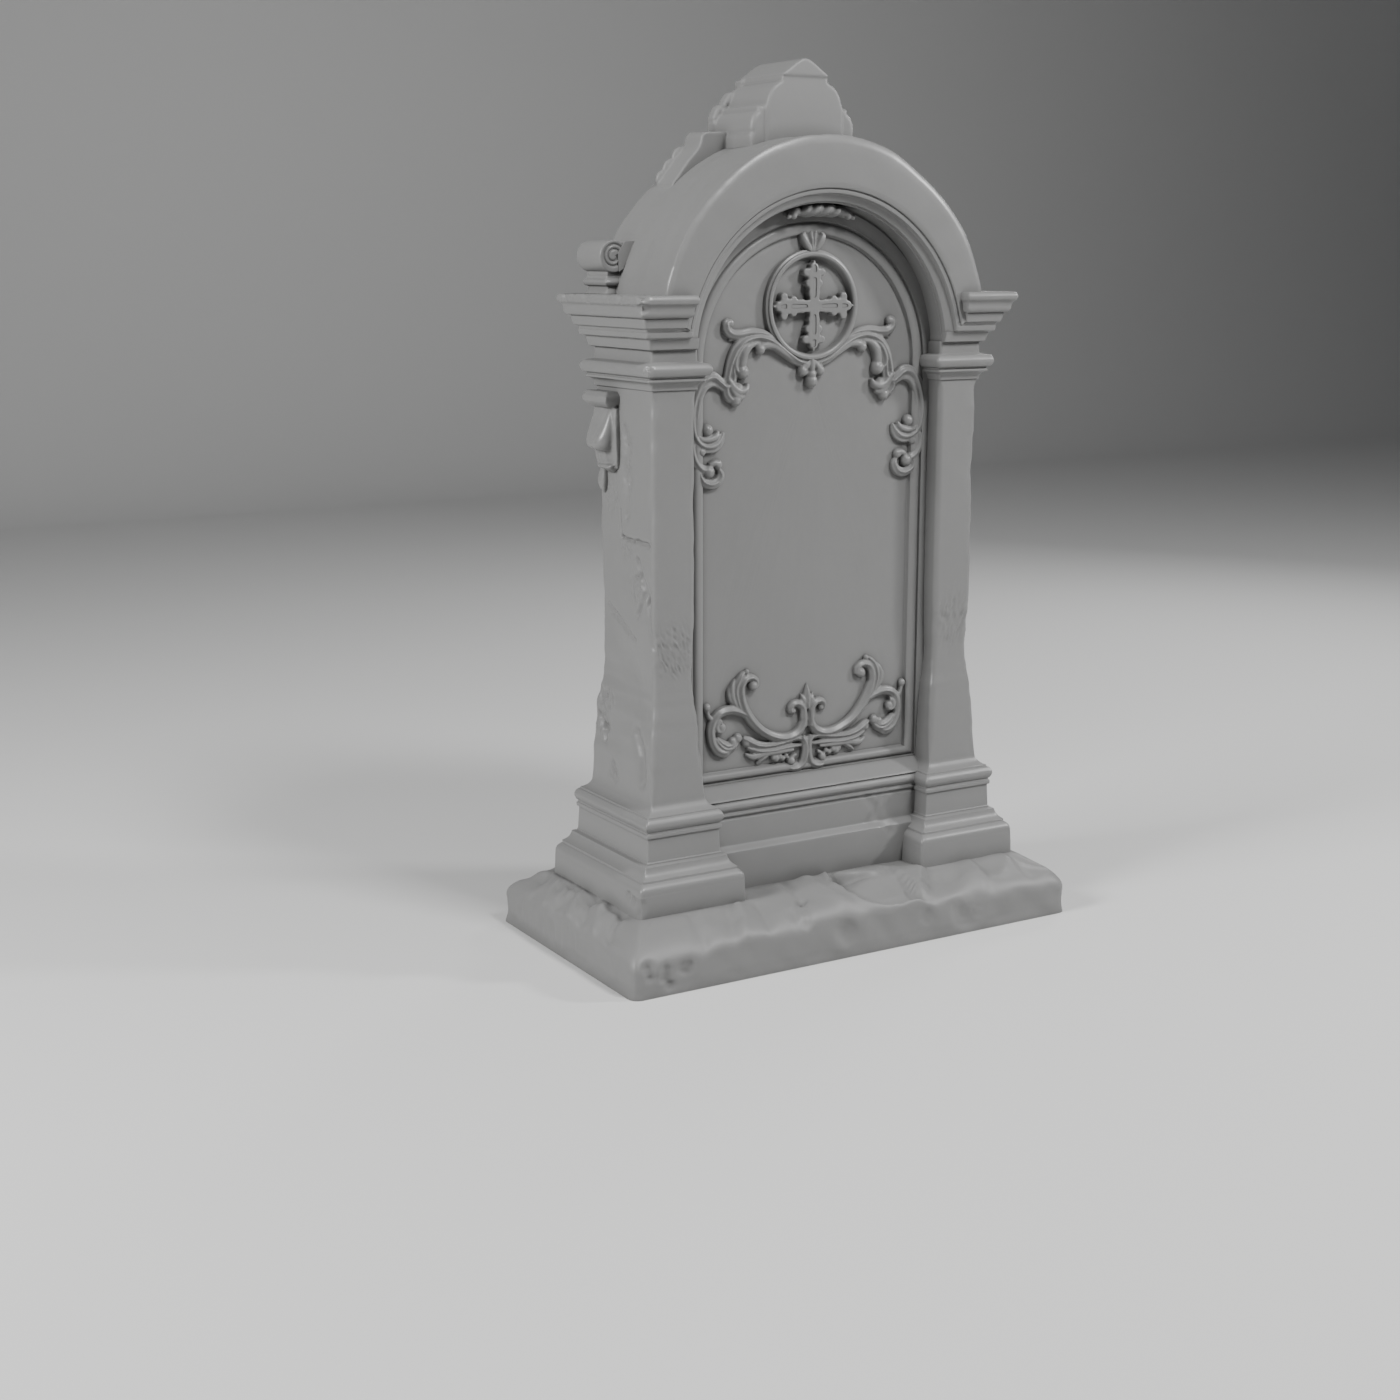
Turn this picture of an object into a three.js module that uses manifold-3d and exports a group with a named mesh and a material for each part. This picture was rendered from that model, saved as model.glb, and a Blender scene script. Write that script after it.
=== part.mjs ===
// Gothic headstone: a ground slab, a carved upright stone and a crowning stone. Millimetres, +Z up.
// The front faces -Y and the origin is the middle of the underside.
import * as THREE from 'three';
import { mergeVertices } from 'three/addons/utils/BufferGeometryUtils.js';
import Module from 'manifold-3d';

const wasm = await Module();
wasm.setup();

// Ground slab
const SLAB_WIDTH = 1000;
const SLAB_DEPTH = 540;
const SLAB_CORNER_RADIUS = 14;
const SLAB_SIDE_HEIGHT = 60;
const SLAB_RIM_HEIGHT = 76;
const SLAB_RIM_RISE = 14;
const SLAB_RIM_ROUNDING = 12;
const SLAB_SEAT_HEIGHT = 112;
const SLAB_SEAT_WIDTH = 880;
const SLAB_SEAT_DEPTH = 372;
const SLAB_LUMP = 4;
const JOINT_GAP = 0.35;

// Pilasters: the outer corner at the foot of the shaft is the datum that every moulding is offset from
const PILASTER_OUTER = 374.5;
const PILASTER_INNER = 260.5;
const PILASTER_FRONT = 117.8;
const SHAFT_INNER_SHARE = 0.6;
const PLINTH_OFFSET = 56.7;
const FOOT_TOP = 306;
const CAPITAL_BOTTOM = 1063;
const FRIEZE_TOP = 1134;

// Arch
const ARCH_CENTRE = 1152.5;
const ARCH_RADIUS = 356;
const ARCH_HALF_DEPTH = 134;
const ARCH_BOTTOM = 1166;
const FASCIA_CENTRE = 1110;
const FASCIA_OUTER_RADIUS = 304;
const FASCIA_INNER_RADIUS = 295.5;
const FASCIA_HALF_DEPTH = 130.5;
const FASCIA_BOTTOM = 1154.5;
const INTRADOS_CENTRE = 1115;
const INTRADOS_RADIUS = 275.5;
const BAND_HALF_DEPTH = 119;
const BAND_BOTTOM = 1135;
const BLOCK_INNER = 309;

// Wall and sunk panel
const WALL_HALF_DEPTH = 70;
const WALL_BOTTOM = 312;
const WALL_TUCK = 25;
const FRAME_CENTRE = 1100;
const FRAME_OUTER_RADIUS = 257;
const FRAME_INNER_RADIUS = 234;
const FRAME_OUTER_BOTTOM = 319;
const FRAME_INNER_BOTTOM = 330;
const FRAME_HALF_DEPTH = 66;
const PANEL_HALF_DEPTH = 62;

// Ring and cross
const RING_HEIGHT = 1204;
const RING_INNER_RADIUS = 88;
const RING_OUTER_RADIUS = 101.5;
const RING_FRONT = 75;
const CROSS_SIDE_ARM = 89;
const CROSS_UPRIGHT_ARM = 82;
const CROSS_ARM_HALF_WIDTH = 8.5;
const CROSS_LOBE = 25;
const CROSS_FRONT = 77;

// Scrollwork
const STEM_DEPTH = 66;
const STEM_SIDES = 5;
const STEM_STEPS_PER_SPAN = 1.4;

// Leaf in the crown of the arch
const CROWN_LEAF_HALF_LENGTH = 72;
const CROWN_LEAF_HEIGHT = 1372;

// Crest and its wings, front and back as Y positions. The wings stand behind the middle plane.
const CREST_TOP = 1646;
const CREST_FRONT = -40;
const CREST_SHOULDER_FRONT = -34;
const CREST_BACK = 112;
const CREST_CUT_BELOW = 1440;
const CREST_LEAF_RADIUS = 16;
const CREST_LEAF_CENTRE = 114;
const WING_FRONT = 50;

// Small scrolls on the cornice and leaf brackets on the pilaster sides, towards the back
const CORNICE_TOP = 1227.5;
const SCROLL_OUT = 354;
const SCROLL_HEIGHT = 1294;
const SCROLL_RADIUS = 28.5;
const SCROLL_FRONT = 47;
const SCROLL_BACK = 140;
const PEDESTAL_INSET = 4;
const BRACKET_ROOT = 358.5;
const BRACKET_FRONT = 20;
const BRACKET_BACK = 98;

// Facets
const ROUND_STEPS = 24;
const RING_STEPS = 26;
const SCROLL_STEPS = 14;
const SHAFT_LEVELS = 8;
const OVERLAP = 4;

const STONE = { color: 0x8a8a88, roughness: 0.55, metalness: 0 };

// A closed body through rings of equal point counts, listed from the bottom up and each anticlockwise
// from above. The end rings are flat and convex, so a fan closes them.
function loft(rings) {
  const count = rings[0].length;
  const positions = rings.flat().flatMap((p) => [p.x, p.y, p.z]);
  const index = [];
  for (let level = 0; level + 1 < rings.length; level += 1) {
    for (let i = 0; i < count; i += 1) {
      const next = (i + 1) % count;
      const low = level * count;
      const high = low + count;
      index.push(low + i, low + next, high + next, low + i, high + next, high + i);
    }
  }
  const top = (rings.length - 1) * count;
  for (let i = 1; i + 1 < count; i += 1) {
    index.push(0, i + 1, i, top, top + i, top + i + 1);
  }
  const geometry = new THREE.BufferGeometry();
  geometry.setAttribute('position', new THREE.Float32BufferAttribute(positions, 3));
  geometry.setIndex(index);
  return geometry;
}

function rectangle(x0, x1, y0, y1, z) {
  return [
    new THREE.Vector3(x0, y0, z),
    new THREE.Vector3(x1, y0, z),
    new THREE.Vector3(x1, y1, z),
    new THREE.Vector3(x0, y1, z),
  ];
}

// A shape drawn in the front view as (x, z), given depth from front to back along Y
function frontExtrude(shape, front, back, curveSegments = ROUND_STEPS) {
  const options = { depth: back - front, bevelEnabled: false, curveSegments };
  const geometry = new THREE.ExtrudeGeometry(shape, options);
  geometry.rotateX(Math.PI / 2);
  geometry.translate(0, back, 0);
  return geometry;
}

function solidOf(geometry) {
  const bare = geometry.clone();
  bare.deleteAttribute('normal');
  bare.deleteAttribute('uv');
  const merged = mergeVertices(bare, 1e-4);
  const vertProperties = new Float32Array(merged.attributes.position.array);
  const triVerts = new Uint32Array(merged.index.array);
  return new wasm.Manifold(new wasm.Mesh({ numProp: 3, vertProperties, triVerts }));
}

function geometryOf(solid) {
  const mesh = solid.getMesh();
  const geometry = new THREE.BufferGeometry();
  geometry.setAttribute('position', new THREE.Float32BufferAttribute(mesh.vertProperties, 3));
  geometry.setIndex(new THREE.Uint32BufferAttribute(mesh.triVerts, 1));
  const flat = geometry.toNonIndexed();
  flat.computeVertexNormals();
  return flat;
}

function joined(geometries) {
  return geometries.map(solidOf).reduce((sum, solid) => sum.add(solid));
}

// The same body on the other side of the middle plane
function mirrored(geometry) {
  const copy = mergeVertices(geometry.clone().deleteAttribute('normal').deleteAttribute('uv'));
  copy.scale(-1, 1, 1);
  copy.setIndex(Array.from(copy.index.array).reverse());
  return copy;
}

function bothSides(geometry) {
  return [geometry, mirrored(geometry)];
}

// A quarter round (bulge above 0) or a hollow (below 0) between two profile points
function curve([o0, z0], [o1, z1], bulge, steps = 3) {
  const length = Math.hypot(o1 - o0, z1 - z0);
  const points = [];
  for (let i = 0; i <= steps; i += 1) {
    const t = i / steps;
    const push = bulge * Math.sin(Math.PI * t);
    const outward = (z1 - z0) / length;
    const upward = (o0 - o1) / length;
    points.push([o0 + (o1 - o0) * t + push * outward, z0 + (z1 - z0) * t + push * upward]);
  }
  return points;
}

// Offset and height pairs of the moulded foot: plinth, round, fillet, ogee, die, fillet, torus, hollow
const FOOT_PROFILE = [
  [PLINTH_OFFSET, SLAB_SEAT_HEIGHT + JOINT_GAP],
  ...curve([55.1, 156], [46, 175.5], 3),
  [44.8, 180.5],
  ...curve([44.8, 181], [30.6, 199.5], -2.5),
  [21.1, 206.3],
  [19.4, 251.7],
  [23, 253.5],
  [23, 259.6],
  [21.6, 264.6],
  ...curve([22.4, 265], [20.5, 287.2], 4.5),
  ...curve([11.2, 294], [0.8, FOOT_TOP], -1),
];

// Astragal and frieze at the head of the pilaster
const HEAD_PROFILE = [
  [-11.1, CAPITAL_BOTTOM],
  ...curve([-11.1, 1063.6], [-2.3, 1076.1], -2),
  [3.1, 1080.1],
  [3.1, 1087],
  ...curve([7.6, 1088], [6.6, 1109], 4),
  [-9.6, 1110.5],
  [-9.8, FRIEZE_TOP],
];

// Cornice above the fascias: a leaning fillet, then a hollow that rolls over into a rounded edge
const CORNICE_PROFILE = [
  [19.1, 1171.7],
  [22.9, 1187.2],
  [27.7, 1189.1],
  [30.4, 1193],
  ...curve([31, 1194], [39, 1212.5], -2),
  ...curve([40.2, 1213.3], [37.8, CORNICE_TOP], 2),
];

// How far the worn shaft stands in from its foot at each height
function shaftOffset(z) {
  const flare = Math.max(0, (540 - z) / (540 - FOOT_TOP));
  const swell = 3.5 * Math.exp(-(((z - 545) / 45) ** 2));
  return -12.5 * (1 - flare * flare * (3 - 2 * flare)) - swell;
}

function pilasterRing(offset, z, innerShare) {
  const inner = PILASTER_INNER - offset * innerShare;
  const front = PILASTER_FRONT + offset;
  return rectangle(inner, PILASTER_OUTER + offset, -front, front, z);
}

function pilaster() {
  const rings = FOOT_PROFILE.map(([offset, z]) => pilasterRing(offset, z, 1));
  for (let i = 1; i <= SHAFT_LEVELS; i += 1) {
    const z = FOOT_TOP + ((CAPITAL_BOTTOM - FOOT_TOP) * (i / (SHAFT_LEVELS + 1)) ** 1.4);
    rings.push(pilasterRing(shaftOffset(z), z, SHAFT_INNER_SHARE));
  }
  rings.push(...HEAD_PROFILE.map(([offset, z]) => pilasterRing(offset, z, SHAFT_INNER_SHARE)));
  return loft(rings);
}

// One step of the entablature over a pilaster, from its inner end outwards
function entablature(profile, inner) {
  const start = profile[0][0];
  return loft(
    profile.map(([offset, z]) => {
      const front = PILASTER_FRONT + offset;
      const end = inner - (offset - start) * 0.6;
      return rectangle(end, PILASTER_OUTER + offset, -front, front, z);
    }),
  );
}

// Half of the wall below the panel, as (depth, height): apron, splay, fillets, torus and sill slope
const WALL_PROFILE = [
  [110, SLAB_SEAT_HEIGHT + JOINT_GAP],
  [110, 190],
  [99, 200],
  [99, 250],
  [96, 254.5],
  [101, 258],
  [101, 262],
  [98.5, 265],
  ...curve([100, 267], [100, 285], 4),
  [99, 286],
  [WALL_HALF_DEPTH + 2, WALL_BOTTOM],
];

function lowerWall() {
  const reach = PILASTER_INNER + WALL_TUCK;
  return loft(WALL_PROFILE.map(([depth, z]) => rectangle(-reach, reach, -depth, depth, z)));
}

// A round-headed outline: straight jambs up to the centre height, then a half circle
function archOutline(radius, centre, bottom, Kind = THREE.Shape) {
  const outline = new Kind();
  outline.moveTo(-radius, bottom);
  outline.lineTo(radius, bottom);
  outline.lineTo(radius, centre);
  outline.absarc(0, centre, radius, 0, Math.PI, false);
  outline.lineTo(-radius, bottom);
  return outline;
}

// A band of the arch from its inner circle to the outer one, less an inset, cut off level at its bottom
function archBand(inset, innerRadius, innerCentre, bottom, halfDepth) {
  const outerRadius = ARCH_RADIUS - inset;
  const outerStart = Math.asin((bottom - ARCH_CENTRE) / outerRadius);
  const innerStart = Math.asin((bottom - innerCentre) / innerRadius);
  const band = new THREE.Shape();
  band.moveTo(innerRadius * Math.cos(innerStart), bottom);
  band.lineTo(outerRadius * Math.cos(outerStart), bottom);
  band.absarc(0, ARCH_CENTRE, outerRadius, outerStart, Math.PI - outerStart, false);
  band.lineTo(-innerRadius * Math.cos(innerStart), bottom);
  band.absarc(0, innerCentre, innerRadius, Math.PI - innerStart, innerStart, true);
  return frontExtrude(band, -halfDepth, halfDepth);
}

function ring() {
  const back = OVERLAP - PANEL_HALF_DEPTH;
  const profile = [
    new THREE.Vector2(RING_INNER_RADIUS - 2, back),
    new THREE.Vector2(RING_INNER_RADIUS, -RING_FRONT + 6),
    new THREE.Vector2(RING_INNER_RADIUS + 4, -RING_FRONT),
    new THREE.Vector2(RING_OUTER_RADIUS - 4, -RING_FRONT),
    new THREE.Vector2(RING_OUTER_RADIUS, -RING_FRONT + 6),
    new THREE.Vector2(RING_OUTER_RADIUS + 3, back),
    new THREE.Vector2(RING_INNER_RADIUS - 2, back),
  ];
  const turned = new THREE.LatheGeometry(profile, RING_STEPS);
  return turned.translate(0, 0, RING_HEIGHT);
}

// One arm of the cross, as (distance along the arm, half width): waist, bead, waist, lobes and tip
function armOutline(length) {
  const waist = CROSS_ARM_HALF_WIDTH;
  return [
    [waist, waist],
    [length * 0.42, waist + 1],
    [length * 0.54, waist + 8],
    [length * 0.64, waist + 3],
    [length * 0.77, CROSS_LOBE - 4],
    [length * 0.84, CROSS_LOBE],
    [length * 0.86, waist + 2],
    [length * 0.95, 5],
    [length, 0],
  ];
}

function cross() {
  const outline = [];
  const arms = [CROSS_SIDE_ARM, CROSS_UPRIGHT_ARM, CROSS_SIDE_ARM, CROSS_UPRIGHT_ARM];
  arms.forEach((length, quarter) => {
    const half = armOutline(length);
    const right = half.slice(1).map(([along, wide]) => new THREE.Vector2(along, -wide));
    const left = half.slice(0, -1).reverse().map(([along, wide]) => new THREE.Vector2(along, wide));
    const turned = [...right, ...left].map((p) => p.rotateAround(new THREE.Vector2(), quarter * Math.PI / 2));
    outline.push(...turned);
  });
  const body = frontExtrude(new THREE.Shape(outline), -CROSS_FRONT, OVERLAP - PANEL_HALF_DEPTH);
  return body.translate(0, 0, RING_HEIGHT);
}

// A tapered stem along a smooth line in the front view
function stem(points, startRadius, endRadius) {
  const line = new THREE.CatmullRomCurve3(points.map(([x, z]) => new THREE.Vector3(x, -STEM_DEPTH, z)));
  const steps = Math.ceil((points.length - 1) * STEM_STEPS_PER_SPAN);
  const rings = [];
  for (let i = 0; i <= steps; i += 1) {
    const t = i / steps;
    const centre = line.getPointAt(t);
    const along = line.getTangentAt(t);
    const across = new THREE.Vector3(0, -1, 0).cross(along).normalize();
    const radius = startRadius + (endRadius - startRadius) * t;
    const loop = [];
    for (let side = 0; side < STEM_SIDES; side += 1) {
      const angle = (side / STEM_SIDES) * 2 * Math.PI;
      loop.push(
        centre
          .clone()
          .addScaledVector(across, radius * Math.cos(angle))
          .addScaledVector(new THREE.Vector3(0, -1, 0), radius * Math.sin(angle)),
      );
    }
    rings.push(loop);
  }
  return loft(rings);
}

function bead(x, z, radius) {
  const ball = new THREE.SphereGeometry(radius, 7, 4);
  return ball.translate(x, -STEM_DEPTH, z);
}

function scrollwork() {
  const rightHalf = [
    // Upper sweep from under the ring to its hanging leaf, then the spur that curls up
    stem(
      [[-4, 1099], [30, 1103], [62, 1122], [90, 1140], [125, 1149], [160, 1136], [182, 1106], [190, 1072]],
      7,
      6,
    ),
    stem([[112, 1147], [150, 1152], [176, 1154], [184, 1167]], 5, 4),
    stem([[96, 1142], [125, 1136], [146, 1116], [154, 1092]], 5, 7),
    bead(153, 1088, 9),
    bead(172, 1044, 14),
    // Outer scroll that follows the frame down to its curl
    stem(
      [[176, 1062], [200, 1074], [226, 1070], [246, 1044], [252, 1000], [250, 950], [240, 916], [226, 905]],
      8,
      4,
    ),
    bead(226, 988, 8),
    bead(220, 912, 11),
    // Drops under the ring
    bead(16, 1085, 9),
    // Lower sweep, its upright curl and its outer branch
    stem(
      [[4, 424], [10, 400], [34, 387], [74, 392], [108, 411], [136, 441], [154, 478], [150, 506], [132, 512]],
      7,
      6,
    ),
    bead(126, 498, 9),
    stem([[8, 396], [2, 424], [14, 448], [30, 450], [38, 438]], 6, 6),
    stem([[140, 440], [176, 456], [204, 450], [217, 426], [212, 390], [192, 374], [166, 382]], 7, 9),
    bead(195, 424, 10),
    bead(161, 397, 9),
    bead(225, 465, 7),
    // Lower leaf and the foot curls
    stem([[4, 372], [40, 376], [90, 376], [132, 390]], 9, 10),
    stem([[12, 372], [6, 346], [18, 329], [42, 327]], 6, 5),
    bead(36, 341, 8),
  ];
  const middle = [
    bead(0, 1064, 12),
    stem([[0, 1112], [0, 1092], [0, 1068]], 6, 6),
    stem([[0, 440], [0, 462], [0, 484]], 9, 2),
    stem([[-22, 1328], [-8, 1306], [8, 1306], [22, 1328]], 6, 6),
    stem([[0, 1296], [0, 1318], [0, 1342]], 5, 12),
  ];
  return [...middle, ...rightHalf.flatMap(bothSides)];
}

function crownLeaf() {
  const leaf = new THREE.SphereGeometry(1, 14, 6);
  leaf.scale(CROWN_LEAF_HALF_LENGTH, 26, 14);
  return leaf.translate(0, -76, CROWN_LEAF_HEIGHT);
}

// Pedestal of the cornice scroll, as (reach beyond the scroll's centre, height above the cornice)
const PEDESTAL_PROFILE = [
  [14, -6],
  [8, 8],
  [8, 14],
  [16, 20],
  [10, 42],
];

// The scroll drawn in the front view: a roll with a plate that rises from it to the arch
function corniceScroll() {
  const roll = new THREE.Shape();
  roll.absarc(SCROLL_OUT, SCROLL_HEIGHT, SCROLL_RADIUS, 0, 2 * Math.PI, false);
  const plate = new THREE.Shape([
    new THREE.Vector2(SCROLL_OUT - 18, SCROLL_HEIGHT - 22),
    new THREE.Vector2(SCROLL_OUT - 10, SCROLL_HEIGHT - 26),
    new THREE.Vector2(SCROLL_OUT - 16, SCROLL_HEIGHT + 23),
    new THREE.Vector2(SCROLL_OUT - 34, SCROLL_HEIGHT + 22),
  ]);
  const inner = SCROLL_OUT - 40;
  const pedestal = loft(
    PEDESTAL_PROFILE.map(([reach, rise]) => {
      const inset = PEDESTAL_INSET - reach * 0.3;
      const front = SCROLL_FRONT + inset;
      const back = SCROLL_BACK - inset - 1;
      return rectangle(inner, SCROLL_OUT + reach, front, back, CORNICE_TOP + rise);
    }),
  );
  return [
    frontExtrude(roll, SCROLL_FRONT, SCROLL_BACK, SCROLL_STEPS),
    frontExtrude(plate, SCROLL_FRONT, SCROLL_BACK),
    pedestal,
  ];
}

// Cap slab of the leaf bracket, as (standing out from its root, overhang at front and back, height)
const BRACKET_CAP = [
  [27, 0, 1026],
  [35, 4, 1034],
  [35, 4, 1044],
  [27, 0, 1054],
];

// Leaf console under the cap, the same way: tapered tail, waist, bulge and neck
const BRACKET_CONSOLE = [
  [7, -24, 878],
  [15, -14, 912],
  [15, -10, 945],
  [30, -5, 950],
  [36, -3, 964],
  [30, -2, 990],
  [20, 0, 1030],
];

function sideBracket() {
  const body = (levels) =>
    loft(
      levels.map(([out, over, z]) =>
        rectangle(BRACKET_ROOT, BRACKET_ROOT + out, BRACKET_FRONT - over, BRACKET_BACK + over, z),
      ),
    );
  return [body(BRACKET_CAP), body(BRACKET_CONSOLE)];
}

function stele() {
  const bodies = [
    ...bothSides(pilaster()),
    lowerWall(),
    frontExtrude(
      archOutline(INTRADOS_RADIUS + 8, INTRADOS_CENTRE, WALL_BOTTOM - 4),
      -WALL_HALF_DEPTH,
      WALL_HALF_DEPTH,
    ),
    archBand(0, FASCIA_OUTER_RADIUS, FASCIA_CENTRE, ARCH_BOTTOM, ARCH_HALF_DEPTH),
    archBand(2 * OVERLAP, FASCIA_INNER_RADIUS, FASCIA_CENTRE, FASCIA_BOTTOM, FASCIA_HALF_DEPTH),
    archBand(3 * OVERLAP, INTRADOS_RADIUS, INTRADOS_CENTRE, BAND_BOTTOM, BAND_HALF_DEPTH),
    ...bothSides(entablature([[-14, FRIEZE_TOP - 3], [-1.5, FRIEZE_TOP], [3, 1152.1]], INTRADOS_RADIUS + 2)),
    ...bothSides(entablature([[-2, 1150], [11.2, 1154.2], [13.6, 1169.7]], INTRADOS_RADIUS + 17)),
    ...bothSides(entablature([[8, 1167], ...CORNICE_PROFILE], BLOCK_INNER)),
    ...bothSides(joinedGeometry(corniceScroll())),
    ...bothSides(joinedGeometry(sideBracket())),
    crownLeaf(),
  ];
  let body = joined(bodies);
  const sink = (radius, bottom, front, back) => {
    body = body.subtract(solidOf(frontExtrude(archOutline(radius, FRAME_CENTRE, bottom), front, back)));
  };
  const clear = WALL_HALF_DEPTH + 1;
  sink(FRAME_OUTER_RADIUS, FRAME_OUTER_BOTTOM, -clear, -FRAME_HALF_DEPTH);
  sink(FRAME_INNER_RADIUS, FRAME_INNER_BOTTOM, -clear, -PANEL_HALF_DEPTH);
  sink(FRAME_INNER_RADIUS, FRAME_INNER_BOTTOM, PANEL_HALF_DEPTH, clear);
  return [ring(), cross(), ...scrollwork()].map(solidOf).reduce((sum, solid) => sum.add(solid), body);
}

function joinedGeometry(geometries) {
  const geometry = geometryOf(joined(geometries));
  return mergeVertices(geometry.deleteAttribute('normal'));
}

// A rounded rectangle as a ring of points, each with its own height
function slabRing(halfWidth, halfDepth, heightAt) {
  const cornerSteps = 3;
  const sideSteps = 9;
  const radius = SLAB_CORNER_RADIUS;
  const points = [];
  const corners = [[1, -1], [1, 1], [-1, 1], [-1, -1]];
  corners.forEach(([sx, sy], quarter) => {
    const centre = new THREE.Vector2(sx * (halfWidth - radius), sy * (halfDepth - radius));
    for (let i = 0; i <= cornerSteps; i += 1) {
      const angle = (quarter - 1) * (Math.PI / 2) + (i / cornerSteps) * (Math.PI / 2);
      points.push(new THREE.Vector2(radius, 0).rotateAround(new THREE.Vector2(), angle).add(centre));
    }
    const [nx, ny] = corners[(quarter + 1) % 4];
    const next = new THREE.Vector2(nx * (halfWidth - radius), ny * (halfDepth - radius));
    const turn = quarter * (Math.PI / 2);
    const outward = new THREE.Vector2(radius, 0).rotateAround(new THREE.Vector2(), turn);
    for (let i = 1; i < sideSteps; i += 1) {
      points.push(centre.clone().lerp(next, i / sideSteps).add(outward));
    }
  });
  return points.map((p) => new THREE.Vector3(p.x, p.y, heightAt(p.x, p.y)));
}

function lump(x, y) {
  return SLAB_LUMP * Math.sin(x / 61 + 1.2) * Math.cos(y / 47 + x / 130);
}

function slab() {
  const halfWidth = SLAB_WIDTH / 2;
  const halfDepth = SLAB_DEPTH / 2;
  const rim = (x) => SLAB_RIM_HEIGHT + SLAB_RIM_RISE * Math.cos((Math.PI * x) / SLAB_WIDTH);
  const between = (share, x, y) => rim(x) + (SLAB_SEAT_HEIGHT - rim(x)) * share + lump(x, y);
  const inset = (share) => [
    halfWidth - SLAB_RIM_ROUNDING + (SLAB_SEAT_WIDTH / 2 - halfWidth + SLAB_RIM_ROUNDING) * share,
    halfDepth - SLAB_RIM_ROUNDING + (SLAB_SEAT_DEPTH / 2 - halfDepth + SLAB_RIM_ROUNDING) * share,
  ];
  return loft([
    slabRing(halfWidth - 4, halfDepth - 4, () => 0),
    slabRing(halfWidth, halfDepth, () => 4),
    slabRing(halfWidth, halfDepth, () => SLAB_SIDE_HEIGHT),
    slabRing(halfWidth - 4, halfDepth - 4, (x) => rim(x) - 6),
    slabRing(...inset(0), (x) => rim(x)),
    slabRing(...inset(0.3), (x, y) => between(0.3, x, y)),
    slabRing(...inset(0.65), (x, y) => between(0.6, x, y)),
    slabRing(...inset(1), () => SLAB_SEAT_HEIGHT),
  ]);
}

// Right half of the crest's front outline, from the crown down to the foot
const CREST_OUTLINE = [
  [20, 1639.5],
  [49.6, 1617.6],
  [47.9, 1607.3],
  [68.4, 1593.5],
  [79, 1575],
  [84.6, 1561.7],
];
const SHOULDER_OUTLINE = [
  [98, 1560],
  [98, 1553],
  [110.5, 1539],
  [114, 1512],
];

// Outline of one wing: it leans on the arch, hollows upwards and ends level beside the crest
const WING_OUTLINE = [
  [60, 1400],
  [228, 1400],
  [242, 1420],
  [231, 1440],
  [208, 1455],
  [182, 1480],
  [168, 1504],
  [150, 1514],
  [60, 1516],
];

// Rolled leaves that climb the back edge of the crest on each side
const CREST_LEAVES = [
  [84, 1590],
  [100, 1566],
  [114, 1544],
];

function shapeOf(outline) {
  return new THREE.Shape(outline.map(([x, z]) => new THREE.Vector2(x, z)));
}

// The outline runs on below the arch's top, where the cut for the arch ends it
function crestShape(rightHalf) {
  const foot = rightHalf[rightHalf.length - 1][0];
  const right = [...rightHalf, [foot, CREST_CUT_BELOW]];
  const left = right.map(([x, z]) => [-x, z]).reverse();
  return shapeOf([...right, ...left]);
}

function crest() {
  const crown = [[0.1, CREST_TOP], ...CREST_OUTLINE];
  const shoulder = [[30, CREST_TOP - 70], ...SHOULDER_OUTLINE];
  const leaves = CREST_LEAVES.map(([x, z]) =>
    new THREE.SphereGeometry(CREST_LEAF_RADIUS, 10, 7).translate(x, CREST_LEAF_CENTRE, z),
  );
  const bodies = [
    frontExtrude(crestShape(crown), CREST_FRONT, CREST_BACK),
    frontExtrude(crestShape(shoulder), CREST_SHOULDER_FRONT, CREST_BACK),
    ...bothSides(frontExtrude(shapeOf(WING_OUTLINE), WING_FRONT, CREST_BACK)),
    ...leaves.flatMap(bothSides),
  ];
  const facetSag = 1 - Math.cos(Math.PI / (2 * ROUND_STEPS));
  const bore = new THREE.Shape();
  bore.absarc(0, ARCH_CENTRE, (ARCH_RADIUS + JOINT_GAP) * (1 + 2 * facetSag), 0, 2 * Math.PI, false);
  const clear = ARCH_HALF_DEPTH + OVERLAP;
  return joined(bodies).subtract(solidOf(frontExtrude(bore, -clear, clear, 2 * ROUND_STEPS)));
}

function named(name, geometry) {
  const mesh = new THREE.Mesh(geometry, new THREE.MeshStandardMaterial(STONE));
  mesh.name = name;
  return mesh;
}

const headstone = new THREE.Group();
headstone.name = 'headstone';
headstone.add(named('base_slab', slab()));
headstone.add(named('stele', geometryOf(stele())));
headstone.add(named('crest', geometryOf(crest())));

export default headstone;
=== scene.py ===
"""Gothic headstone: ground slab, carved upright stone and crest, in front of a plain studio floor."""

import math

import bmesh
import bpy
from bpy.props import FloatProperty, FloatVectorProperty, PointerProperty
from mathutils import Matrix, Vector, noise


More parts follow.
